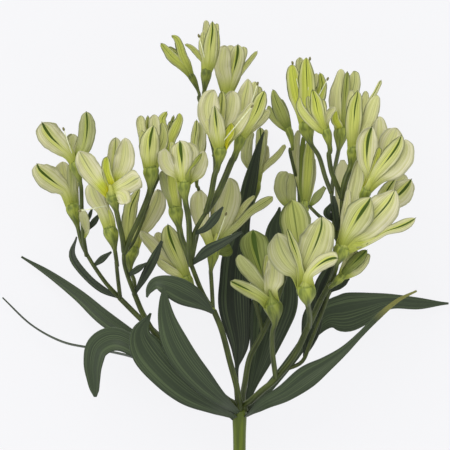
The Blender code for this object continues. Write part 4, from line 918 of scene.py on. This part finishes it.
def addCore(work, bloom):
    # the closed heart of a bloom, which joins its petals to the ovary
    base, axis = bloomAxis(bloom)
    wide, length = bloom["core"]
    tint, olive = bloom["tepals"][0][3:5]
    rows = []
    for s, ofOvary, ofCore in coreForm["shape"]:
        rows.append((base + axis * length * s * mm, bloom["ovary"] * ofOvary + wide * ofCore))

    def mark(v, s):
        return (0.0, max(coreForm["tint"], tint), max(olive, 1 - s * 2), 1.0)

    rows = smoothRows(rows, coreForm["rows"])
    addTube(work, rows, coreForm["sides"], mark, ribs=coreForm["ribs"], ribDepth=coreForm["ribDepth"])


def addStamen(work, bloom, x, y, rise, bow, *start):
    # a thin filament with its anther
    form = stamenForm
    base, axis = bloomAxis(bloom)
    tip = onPlan(x, y, bloom["base"][2] + rise)
    root = base + axis * form["root"] * mm
    if start:
        root = onPlan(start[0], start[1], bloom["base"][2] + start[2])
    middle = (root + tip) / 2 + Vector((0, 0, (bow + form["bow"]) * mm))
    line = smoothRows(list(zip((root, middle, tip), form["radii"])), form["rows"])
    ahead = (line[-1][0] - line[-2][0]).normalized()
    anther = [(tip + ahead * mm * along, radius) for along, radius in form["anther"]]
    plain = (0.0, 0.0, 0.0, 1.0)
    addTube(work, line, form["sides"], plain, slot=1)
    addTube(work, anther, form["antherSides"], plain, slot=2)


def buildBloom(name, bloom, materials):
    petals = newWork()
    for i, tepal in enumerate(bloom["tepals"]):
        seed = i * 1.7 + len(name) + ord(name[-1]) * 0.37
        addTepal(petals, bloom, tepal, bloom.get("rolls", {}).get(i, 0), seed)
    work = thickened(petals, petalForm["thickness"])
    addCore(work, bloom)
    for stamen in bloom.get("stamens", []):
        addStamen(work, bloom, *stamen)
    finishPiece(work, name, materials)


def addPedicel(work, bloom):
    # a pedicel that swells into the ribbed ovary under a bloom, on one smooth line
    form = ovaryForm
    base, axis = bloomAxis(bloom)
    long = form["length"] * mm
    thin = bloom.get("stalk", form["stalk"])
    points = [onPlan(*point) for point in bloom["pedicel"]]
    lean = (axis + (base - points[-1]).normalized()).normalized()
    points.append(base - lean * long)
    points += [base - axis * long * form["straight"], base + axis * long * form["overlap"]]
    reach = lengthOf(points)
    count = max(16, int(reach / (form["rowLength"] * mm)))
    fine = [row[0] for row in smoothRows([(point,) for point in points], count)]
    rows = []
    down = -long * form["overlap"]
    for i in range(len(fine) - 1, -1, -1):
        rows.insert(0, (fine[i], max(thin, bloom["ovary"] * stepped(down / long, form["shape"]))))
        down += (fine[i] - fine[i - 1]).length
    tone = bloom.get("tone", form["tone"])
    share = (1 + form["overlap"]) * long / reach

    def mark(v, s):
        # read by the stalk's material: how near the pale ovary is
        near = min(1.0, max(0.0, form["toneFrom"] - (1 - s) / share))
        return (0.0, form["stalkTone"] + (tone - form["stalkTone"]) * near, 0.0, 1.0)

    addTube(work, rows, form["sides"], mark, ribs=form["ribs"], ribDepth=form["ribDepth"])


rayForm = {
    "footRadius": 3.0, "footDrop": 0.8, "footLength": 3.4,  # mm, where a ray leaves the stem
    "sides": 14, "rowLength": 2.0,  # mm
    "tone": 0.1,  # 0 is the darkest green
    "bractAcross": 8, "bractAlong": 26, "bractKeel": 0.15, "paleTint": 0.1,
}

# Each ray: its angle round the stem, its stalks as radius at the start and end and points (plan x, plan y,
# height), its dark bracts as a leaf's rows, and its pale ones with the olive tint of each.
rays = {}
rays["ray_a"] = {
    "angle": 234,
    "stalks": [
        (1.7, 1.4, [(226, 399, 31), (200, 376, 30), (160, 337.5, 27), (139, 318, 26), (119, 298, 25)]),
        (1.2, 1, [(120, 299, 25), (106, 284, 27), (94, 267, 28), (86, 254, 28)]),
        (1.1, 1, [(120, 300, 25), (117.5, 278, 34), (116, 262, 42)]),
    ],
    "bracts": [
        [
            (119, 298, 25, 3, 10), (101, 289, 21, 8, 30), (84, 274, 17, 9, 40), (72, 256, 15, 10, 50),
            (76, 237, 18, 2, 60),
        ],
        [(93, 266, 28, 3, 10), (102, 259, 31, 7, 20), (111, 252, 34, 2, 20)],
        [(84, 234, 34.3, 2, 0), (88, 229, 35, 3, 10), (94, 221.5, 37, 6.5, 10), (99.5, 213.5, 38, 2, 10)],
        [(84, 232, 35, 1.5, 0), (87, 222, 37, 2.5, 10), (89.5, 215, 38, 4, 10), (91.5, 209, 39, 2, 10)],
    ],
    "paleBracts": [
        (0.3, [
            (84.5, 238, 34.5, 2, 0), (86.5, 231, 39, 5, 0), (85, 223, 41.5, 9, 0), (83, 215, 43, 9, 0),
            (81.5, 209, 43.5, 4, 0),
        ]),
    ],
}
rays["ray_b"] = {
    "angle": 162,
    "stalks": [
        (1.7, 1.4, [(222, 396, 39), (200, 375, 43), (161, 341, 46), (144, 316, 49), (134, 293, 52)]),
        (1.2, 1, [(135, 295, 52), (128, 277, 56), (124, 262, 61), (124, 249, 66)]),
    ],
    "bracts": [
        [(134.5, 294, 52, 3, 0), (146, 274, 58, 9, 20), (155, 257, 64, 9, 20), (162, 241, 68, 3, 20)],
        [(127.5, 276, 56, 3, 0), (138, 269, 62, 7, 20), (147, 263, 64, 2, 20)],
    ],
}
rays["ray_c"] = {
    "angle": 90,
    "stalks": [
        (1.7, 1.5, [(238, 396, 44), (236, 384, 48), (230, 362, 53), (222, 331, 60), (214, 311, 66)]),
        (1.4, 1.2, [(215, 313, 65.5), (203, 294, 71), (191, 264, 76)]),
        (1.2, 1.1, [(191, 266, 76), (193, 248, 79), (194, 234, 81), (200, 222, 83), (207, 211, 84)]),
        (1, 0.9, [
            (205, 214, 83), (213, 184, 66), (215, 164, 58), (213, 148, 54), (209, 134, 51), (204, 117, 49),
        ]),
    ],
    "bracts": [
        [(191, 265, 76, 3, 0), (206, 252, 84, 11, 15), (222, 243, 88, 9, 10), (242, 232, 90, 3, 0)],
        [(194, 234, 81, 3, 0), (206, 228, 88, 7, 10), (215, 218, 92, 9, 10), (223, 207, 94, 2, 10)],
    ],
}
rays["ray_d"] = {
    "angle": 306,
    "stalks": [
        (1.7, 1.4, [
            (243, 396, 30), (245, 384, 25), (250, 358, 21), (262, 335, 19), (274, 310, 19), (284, 280, 19),
        ]),
        (1.3, 1.1, [(284, 281, 19), (290, 256, 19), (296, 232, 19), (300, 216, 20)]),
    ],
    "bracts": [],
}
rays["ray_e"] = {
    "angle": 18,
    "stalks": [
        (1.8, 1.6, [
            (250, 402, 40), (262, 391, 43), (276, 379, 46), (294, 356, 53), (308, 327, 61), (321, 299, 68),
        ]),
        (1.5, 1.3, [(320, 301, 67.5), (330, 282, 72), (336, 262, 74), (338, 241, 76)]),
        (1.2, 1, [(338, 243, 76), (334, 223, 78), (332.5, 205, 79), (331, 192, 79)]),
        (1.2, 1, [(338, 243, 76), (341, 220, 80), (341.5, 197, 81)]),
        (1.1, 0.9, [(337, 240, 76), (328, 223, 75), (319, 216, 72), (309, 206, 64)]),
        (1.1, 0.9, [
            (285, 370, 49), (302, 362, 48), (310, 344, 52), (320, 318, 58), (328, 296, 65), (332, 279, 72),
        ]),
    ],
    "bracts": [
        [
            (304.5, 357, 49, 3, 0), (308, 344, 46, 12, 0), (311, 330, 49, 19, 0), (313, 316, 52, 20, 0),
            (317, 304, 56, 13, 0), (321, 295, 60, 3, 0),
        ],
        [
            (315, 319, 57, 3, 0), (319, 301, 61, 14, 0), (324.5, 285, 65, 19, 0), (331, 269, 69, 13, 0),
            (336, 256, 71, 3, 0),
        ],
        [(333.5, 221, 78, 3, 0), (327, 213, 82, 8, 10), (331, 204, 84, 3, 10)],
        [(337, 230, 79, 3, 0), (335.5, 217, 81.5, 7, 0), (334, 206, 82.5, 7.5, 0), (333, 196, 82.5, 3, 0)],
        [(338, 244, 77, 3, 0), (343, 236, 84, 8, 0), (342, 226, 86, 6, 0), (341, 220, 86, 2, 0)],
        [(331, 291, 70, 3, 0), (337.5, 285.5, 73, 9, 0), (344, 280.5, 74, 9, 0), (349, 278, 74, 3, 0)],
    ],
    "paleBracts": [
        (0.8, [(309.5, 206.5, 64.3, 3, 0), (317, 197, 66, 9, 20), (325, 187, 66, 4, 20)]),
        (0, [
            (338.5, 240, 74, 3, 0), (341, 222, 69, 9, 0), (342.5, 200, 66, 14, 0), (342.5, 180, 66, 16, 0),
            (342.5, 168, 67, 13, 0), (342.5, 160, 68, 4, 0),
        ]),
    ],
}


def buildRay(name, ray, materials):
    # a ray with its forks, its bracts, and the pedicels and ovaries of its blooms
    form = rayForm
    bracts = newWork()
    shape = form["bractAcross"], form["bractAlong"], form["bractKeel"]
    for i, rows in enumerate(ray["bracts"]):
        addBlade(bracts, rows, *shape, (0.0, 0.0, 0.0, 1.0), slot=1, seed=i * 3.3)
    for olive, rows in ray.get("paleBracts", []):
        addBlade(bracts, rows, *shape, (0.0, form["paleTint"], olive, 1.0), slot=2)
    work = thickened(bracts, leafForm["thickness"]) if ray["bracts"] else newWork()
    angle = math.radians(ray["angle"])
    out = form["footRadius"]
    foot = whorlPoint + Vector((out * math.cos(angle), -form["footDrop"], out * math.sin(angle))) * mm
    for i, (start, end, points) in enumerate(ray["stalks"]):
        line = [onPlan(*point) for point in points]
        if i == 0:
            line = [foot, foot + Vector((0, form["footLength"], 0)) * mm] + line
        last = len(line) - 1
        rows = [(point, start + (end - start) * k / last) for k, point in enumerate(line)]
        count = max(8, int(lengthOf(line) / (form["rowLength"] * mm)))
        addTube(work, smoothRows(rows, count), form["sides"], (0.0, form["tone"], 0.0, 1.0))
    for bloom in blooms.values():
        if bloom["ray"] == name:
            addPedicel(work, bloom)
    finishPiece(work, name, materials)


def linear(hexColor):
    # an sRGB hex colour as linear RGBA
    parts = [int(hexColor[i : i + 2], 16) / 255 for i in (1, 3, 5)]
    return tuple(c / 12.92 if c <= 0.04045 else ((c + 0.055) / 1.055) ** 2.4 for c in parts) + (1.0,)


def put(tree, kind, links=None, **settings):
    # a new node with its settings, its inputs set or linked; gives back its outputs
    node = tree.nodes.new("ShaderNode" + kind)
    for name, value in settings.items():
        setattr(node, name, value)
    for name, value in (links or {}).items():
        if isinstance(value, bpy.types.NodeSocket):
            tree.links.new(value, node.inputs[name])
        else:
            node.inputs[name].default_value = value
    return node.outputs


def newMaterial(name):
    material = bpy.data.materials.new(name)
    material.use_nodes = True
    tree = material.node_tree
    return material, tree, tree.nodes["Principled BSDF"], tree.nodes["Material Output"]


def surfaceParts(tree):
    # the piece's own map, the way along it, the way from its middle line, and its three marks
    uv = put(tree, "UVMap", uv_map="grain")[0]
    u, v, _ = put(tree, "SeparateXYZ", {0: uv})
    aside = put(tree, "Math", {0: u, 1: 0.5}, operation="SUBTRACT")[0]
    aside = put(tree, "Math", {0: aside}, operation="ABSOLUTE")[0]
    marks = put(tree, "Attribute", attribute_name="mark")[0]
    return uv, v, aside, put(tree, "SeparateColor", {0: marks})


def streaks(tree, uv, size, streak, seed):
    # noise drawn out along a piece: its usual size and that of a streak are (across, along) in mm
    scale = (size[0] / streak[0], size[1] / streak[1], 1)
    at = put(tree, "Mapping", {"Vector": uv, "Location": (0, 0, seed), "Scale": scale})[0]
    return put(tree, "TexNoise", {"Vector": at, "Scale": 1.0, "Detail": 2.0, "Roughness": 0.55})[0]


def finishSkin(tree, shader, output, color, height, look, glow=None):
    # the colour, gloss and relief of a skin, and the light that a thin one lets through
    tree.links.new(color, shader.inputs["Base Color"])
    shader.inputs["Roughness"].default_value = look["roughness"]
    shader.inputs["Specular IOR Level"].default_value = look["specular"]
    shader.inputs["Sheen Weight"].default_value = look.get("sheen", 0.0)
    relief = {"Strength": look["bump"], "Distance": look["relief"] * mm, "Height": height}
    tree.links.new(put(tree, "Bump", relief)[0], shader.inputs["Normal"])
    if glow is not None:
        through = put(tree, "BsdfTranslucent", {"Color": glow})[0]
        mixed = put(tree, "MixShader", {0: look["through"], 1: shader.outputs[0], 2: through})[0]
        tree.links.new(mixed, output.inputs["Surface"])


soft = "SMOOTHSTEP"  # how most ramps run

petalLook = {
    "cream": "#DDD9BC", "creamVein": "#C8C690", "lime": "#D0D64C", "limeVein": "#A8B234",
    # the olive colours stand partly for the petal's own olive and partly for painted shade
    "olive": "#7C8A3A", "oliveVein": "#566322", "throat": "#D6D01C",
    "stripe": "#40560A", "tip": "#33420A", "edgeShade": "#56622E",
    "size": (8.4, 26.4), "fineStreak": (0.28, 22), "broadStreak": (1.2, 24),  # mm across and along
    "roughness": 0.5, "specular": 0.25, "sheen": 0.03,
    "bump": 0.45, "relief": 0.5,  # strength, and height in mm
    "through": 0.25,  # part of the light that passes
}


def makeCreamTepal():
    # alstroemeria tepal: thin, soft and slightly see-through, cream going lime in its middle and at its
    # foot, with a green spear and thin green lines towards the tip
    material, tree, shader, output = newMaterial("creamTepal")
    look, even = petalLook, "LINEAR"
    uv, v, aside, (stripe, tint, olive) = surfaceParts(tree)
    fine = streaks(tree, uv, look["size"], look["fineStreak"], 3.0)
    broad = streaks(tree, uv, look["size"], look["broadStreak"], 8.0)
    # each ramp: what it reads, where it starts and ends, its values there, and how it runs
    ramps = {
        "veins": (fine, 0.36, 0.66, 0.0, 1.0, soft),
        "patch": (broad, 0.3, 0.62, 0.35, 1.0, soft),
        # lime in the middle, most where there is a stripe, at the foot, and less at the margins
        "middle": (aside, 0.3, 0.04, 0.0, 1.0, soft),
        "upper": (v, 1.0, 0.55, 0.0, 1.0, soft),
        "striped": (stripe, 0.0, 1.0, 0.5, 1.0, even),
        "foot": (v, 0.42, 0.04, 0.0, 0.9, soft),
        "margin": (aside, 0.2, 0.42, 1.1, 0.4, soft),
        # darker olive at the very foot: partly the petal's own base colour, partly painted shade deep in the
        # bloom
        "veryFoot": (v, 0.3, 0.0, 0.0, 0.4, soft),
        "throat": (tint, 1.0, 2.0, 0.0, 0.9, even),
        # the spear widens from the middle of the petal and narrows again at the tip
        "width": (v, 0.3, 0.8, 0.012, 0.1, even),
        "narrowing": (v, 0.8, 1.0, 1.0, 0.5, even),
        "breadth": (stripe, 0.6, 1.0, 0.4, 1.0, even),
        "outer": (v, 0.25, 0.5, 0.0, 1.3, soft),
        "torn": (fine, 0.25, 0.45, 0.6, 1.0, soft),
        "bold": (stripe, 0.0, 0.75, 0.0, 1.0, even),
        # thin lines beside it
        "lines": (fine, 0.55, 0.63, 0.0, 0.75, soft),
        "beside": (aside, 0.32, 0.08, 0.0, 1.0, soft),
        "window": (v, 0.15, 0.45, 0.0, 1.0, soft),
        "closing": (v, 0.99, 0.85, 0.0, 1.0, soft),
        # its dark end at the tip
        "end": (v, 0.9, 0.97, 0.0, 1.0, soft),
        "near": (aside, 0.38, 0.12, 0.0, 1.0, soft),
        "strong": (stripe, 0.3, 0.6, 0.0, 1.0, soft),
        # a thin darker rim, broken up: painted edge shade along the sides and round the tip
        "side": (aside, 0.38, 0.47, 0.0, 1.0, soft),
        "top": (v, 0.978, 0.996, 0.0, 1.0, soft),
        "free": (v, 0.1, 0.4, 0.0, 1.0, soft),
        "leafy": (tint, 0.1, 0.6, 0.4, 1.0, even),
    }
    products = {
        "middle": ("upper", "patch", "striped"),
        "margin": ("tint",),
        "width": ("narrowing", "breadth"),
        "outer": ("torn", "bold"),
        "lines": ("beside", "window", "closing", "stripe"),
        "end": ("near", "strong"),
        "free": ("leafy", "patch"),
    }
    part = {"stripe": stripe, "tint": tint}
    for name, (source, start, end, low, high, kind) in ramps.items():
        values = {0: source, 1: start, 2: end, 3: low, 4: high}
        part[name] = put(tree, "MapRange", values, interpolation_type=kind)[0]
    for name, factors in products.items():
        for factor in factors:
            part[name] = put(tree, "Math", {0: part[name], 1: part[factor]}, operation="MULTIPLY")[0]
    green = put(tree, "Math", {0: part["middle"], 1: part["foot"]}, operation="MAXIMUM")[0]
    green = put(tree, "Math", {0: green, 1: part["margin"]}, operation="MAXIMUM", use_clamp=True)[0]
    # olive tint with a darker foot, partly own colour and partly painted shade
    oliveAndShade = put(tree, "Math", {0: olive, 1: part["veryFoot"]}, operation="ADD", use_clamp=True)[0]
    ratio = put(tree, "Math", {0: aside, 1: part["width"]}, operation="DIVIDE")[0]
    spear = put(tree, "MapRange", {0: ratio, 1: 1.5, 2: 0.75}, interpolation_type=soft)[0]
    spear = put(tree, "Math", {0: spear, 1: part["outer"]}, operation="MULTIPLY")[0]
    marked = put(tree, "Math", {0: spear, 1: part["lines"]}, operation="MAXIMUM", use_clamp=True)[0]
    # painted edge shade: a dark rim along the petal's sides and its tip, stronger on lime petals
    shadedRim = put(tree, "Math", {0: part["side"], 1: part["top"]}, operation="MAXIMUM")[0]
    shadedRim = put(tree, "Math", {0: shadedRim, 1: part["free"]}, operation="MULTIPLY")[0]

    # each colour is laid over the ones before it, by its share
    veined = []
    for plain in ("cream", "lime", "olive"):
        pair = {0: part["veins"], 6: linear(look[plain]), 7: linear(look[plain + "Vein"])}
        veined.append(put(tree, "Mix", pair, data_type="RGBA")[2])
    color, lime, dull = veined
    layers = [
        (green, lime), (oliveAndShade, dull), (part["throat"], linear(look["throat"])),
        (marked, linear(look["stripe"])), (part["end"], linear(look["tip"])), (shadedRim, linear(look["edgeShade"])),
    ]
    for share, over in layers:
        color = put(tree, "Mix", {0: share, 6: color, 7: over}, data_type="RGBA")[2]
    finishSkin(tree, shader, output, color, fine, look, glow=color)
    return material


stalkLook = {
    "dark": "#2A3612", "darker": "#18210A", "ovary": "#A4AE46", "ovaryRib": "#6C7A2C",
    "size": (8.1, 60), "streak": (0.9, 12),  # mm round and along
    "roughness": 0.45, "specular": 0.3, "bump": 0.3, "relief": 0.3,
}


def makeStalkSkin():
    # smooth plant skin, dark green on the stalks and paler on the ribbed ovaries
    material, tree, shader, output = newMaterial("stalkSkin")
    look = stalkLook
    uv, _, _, (_, tone, _) = surfaceParts(tree)
    grain = streaks(tree, uv, look["size"], look["streak"], 1.0)
    grainy = put(tree, "MapRange", {0: grain, 1: 0.36, 2: 0.66}, interpolation_type=soft)[0]
    main = {0: tone, 6: linear(look["dark"]), 7: linear(look["ovary"])}
    deep = {0: tone, 6: linear(look["darker"]), 7: linear(look["ovaryRib"])}
    main = put(tree, "Mix", main, data_type="RGBA")[2]
    deep = put(tree, "Mix", deep, data_type="RGBA")[2]
    color = put(tree, "Mix", {0: grainy, 6: main, 7: deep}, data_type="RGBA")[2]
    finishSkin(tree, shader, output, color, grain, look)
    return material


stemLook = {
    "olive": "#566418", "streaked": "#3E4A12", "node": "#404C16",
    "size": (20, 200), "streak": (1.25, 25),  # mm round and along
    "roughness": 0.38, "specular": 0.25, "bump": 0.3, "relief": 0.3,
}


def makeStemSkin():
    # olive main stem: smooth and waxy, with fine streaks along it and a darker top
    material, tree, shader, output = newMaterial("stemSkin")
    look = stemLook
    uv, v, _, _ = surfaceParts(tree)
    grain = streaks(tree, uv, look["size"], look["streak"], 1.0)
    grainy = put(tree, "MapRange", {0: grain, 1: 0.3, 2: 0.75}, interpolation_type=soft)[0]
    top = put(tree, "MapRange", {0: v, 1: 0.955, 2: 0.995, 4: 0.5}, interpolation_type=soft)[0]
    color = linear(look["olive"])
    for share, over in ((grainy, "streaked"), (top, "node")):
        color = put(tree, "Mix", {0: share, 6: color, 7: linear(look[over])}, data_type="RGBA")[2]
    finishSkin(tree, shader, output, color, grain, look)
    return material


leafLook = {
    "blade": "#3C4A2F", "bladeAlt": "#303D24", "deep": "#1B2415", "vein": "#53623E", "glow": "#5F7F35",
    "dried": "#77763A",
    "size": (15.3, 99), "veins": (0.9, 110), "patches": (3.06, 45),  # mm across and along
    "roughness": 0.5, "specular": 0.3, "sheen": 0.08, "bump": 0.35, "relief": 0.4, "through": 0.12,
}


def makeLeafSkin():
    # glaucous leaf: dull and waxy, with paler parallel veins of uneven strength
    material, tree, shader, output = newMaterial("glaucousLeaf")
    look = leafLook
    uv, _, aside, (tone, dried, _) = surfaceParts(tree)
    veins = streaks(tree, uv, look["size"], look["veins"], 5.0)
    broad = streaks(tree, uv, look["size"], look["patches"], 2.0)
    patch = put(tree, "MapRange", {0: broad, 1: 0.32, 2: 0.68}, interpolation_type=soft)[0]
    pale = put(tree, "MapRange", {0: veins, 1: 0.5, 2: 0.64, 4: 0.6}, interpolation_type=soft)[0]
    middle = put(tree, "MapRange", {0: aside, 1: 0.03, 2: 0.0, 4: 0.4}, interpolation_type=soft)[0]
    pale = put(tree, "Math", {0: pale, 1: middle}, operation="MAXIMUM")[0]
    blade = {0: patch, 6: linear(look["blade"]), 7: linear(look["bladeAlt"])}
    blade = put(tree, "Mix", blade, data_type="RGBA")[2]
    color = linear(look["deep"])
    for share, over in ((tone, blade), (pale, linear(look["vein"])), (dried, linear(look["dried"]))):
        color = put(tree, "Mix", {0: share, 6: color, 7: over}, data_type="RGBA")[2]
    finishSkin(tree, shader, output, color, veins, look, glow=linear(look["glow"]))
    return material


def makePlain(name, hexColor, roughness):
    # small soft parts, filaments and anthers: mottled a little
    spotsPerMm = 0.9
    material, tree, shader, _ = newMaterial(name)
    place = put(tree, "TexCoord")["Object"]
    spots = put(tree, "TexNoise", {"Vector": place, "Scale": spotsPerMm / mm})[0]
    spots = put(tree, "MapRange", {0: spots, 1: 0.35, 2: 0.7})[0]
    dark = tuple(c * 0.7 for c in linear(hexColor)[:3]) + (1.0,)
    color = put(tree, "Mix", {0: spots, 6: linear(hexColor), 7: dark}, data_type="RGBA")[2]
    tree.links.new(color, shader.inputs["Base Color"])
    shader.inputs["Roughness"].default_value = roughness
    return material


stageLook = {
    "floor": "#3E3E40", "glow": "#F5F5F7", "glowStrength": 0.92, "roughness": 0.9, "size": 6.0,
    "sky": (0.97, 0.98, 1.0, 1.0), "skyStrength": 1.1,
    "sun": (1.0, 0.985, 0.95), "sunEnergy": 1.5, "sunAngle": 45, "sunTurn": (-30, -22, 0),  # degrees
    "cameraHeight": 8.0, "cameraOver": 60,  # m over the plane in focus, and that plane's height in mm
    "sensor": 36,  # mm
}


def makeFloor():
    # a pale lit table top
    material, _, shader, _ = newMaterial("paleTable")
    shader.inputs["Base Color"].default_value = linear(stageLook["floor"])
    shader.inputs["Roughness"].default_value = stageLook["roughness"]
    shader.inputs["Emission Color"].default_value = linear(stageLook["glow"])
    shader.inputs["Emission Strength"].default_value = stageLook["glowStrength"]
    return material


def buildStage():
    work = bmesh.new()
    bmesh.ops.create_grid(work, x_segments=1, y_segments=1, size=stageLook["size"] / 2)
    mesh = bpy.data.meshes.new("floor")
    work.to_mesh(mesh)
    work.free()
    mesh.materials.append(makeFloor())
    floor = bpy.data.objects.new("floor", mesh)
    bpy.context.scene.collection.objects.link(floor)
    world = bpy.data.worlds.new("softRoom")
    world.use_nodes = True
    world.node_tree.nodes["Background"].inputs["Color"].default_value = stageLook["sky"]
    world.node_tree.nodes["Background"].inputs["Strength"].default_value = stageLook["skyStrength"]
    bpy.context.scene.world = world
    lamp = bpy.data.lights.new("softKey", "SUN")
    lamp.energy = stageLook["sunEnergy"]
    lamp.angle = math.radians(stageLook["sunAngle"])
    lamp.color = stageLook["sun"]
    key = bpy.data.objects.new("softKey", lamp)
    key.rotation_euler = [math.radians(turn) for turn in stageLook["sunTurn"]]
    bpy.context.scene.collection.objects.link(key)


def buildCamera():
    # straight above and far off, so that it sees the plan
    high = stageLook["cameraHeight"]
    camera = bpy.data.cameras.new("above")
    camera.sensor_width = stageLook["sensor"]
    camera.lens = stageLook["sensor"] * high / (sheetPlan["width"] * sheetPlan["step"] * mm)
    camera.clip_end = 100
    holder = bpy.data.objects.new("above", camera)
    holder.location = onPlan(*sheetPlan["middle"], stageLook["cameraOver"]) + Vector((0, 0, high))
    bpy.context.scene.collection.objects.link(holder)
    bpy.context.scene.camera = holder


print("stage and camera")
buildStage()
buildCamera()

print("materials")
creamTepal = makeCreamTepal()
filament = makePlain("paleFilament", "#DDE0B8", 0.5)
anther = makePlain("driedAnther", "#6E6A3C", 0.7)
stalkSkin = makeStalkSkin()
stemSkin = makeStemSkin()
leafSkin = makeLeafSkin()

print("stem and rays")
buildStem([stemSkin])
for rayName, raySpec in rays.items():
    buildRay(rayName, raySpec, [stalkSkin, leafSkin, creamTepal])

print("leaves")
for leafName, leafSpec in leaves.items():
    buildLeaf(leafName, leafSpec, [leafSkin])

print("blooms")
for bloomName, bloomSpec in blooms.items():
    buildBloom(bloomName, bloomSpec, [creamTepal, filament, anther])
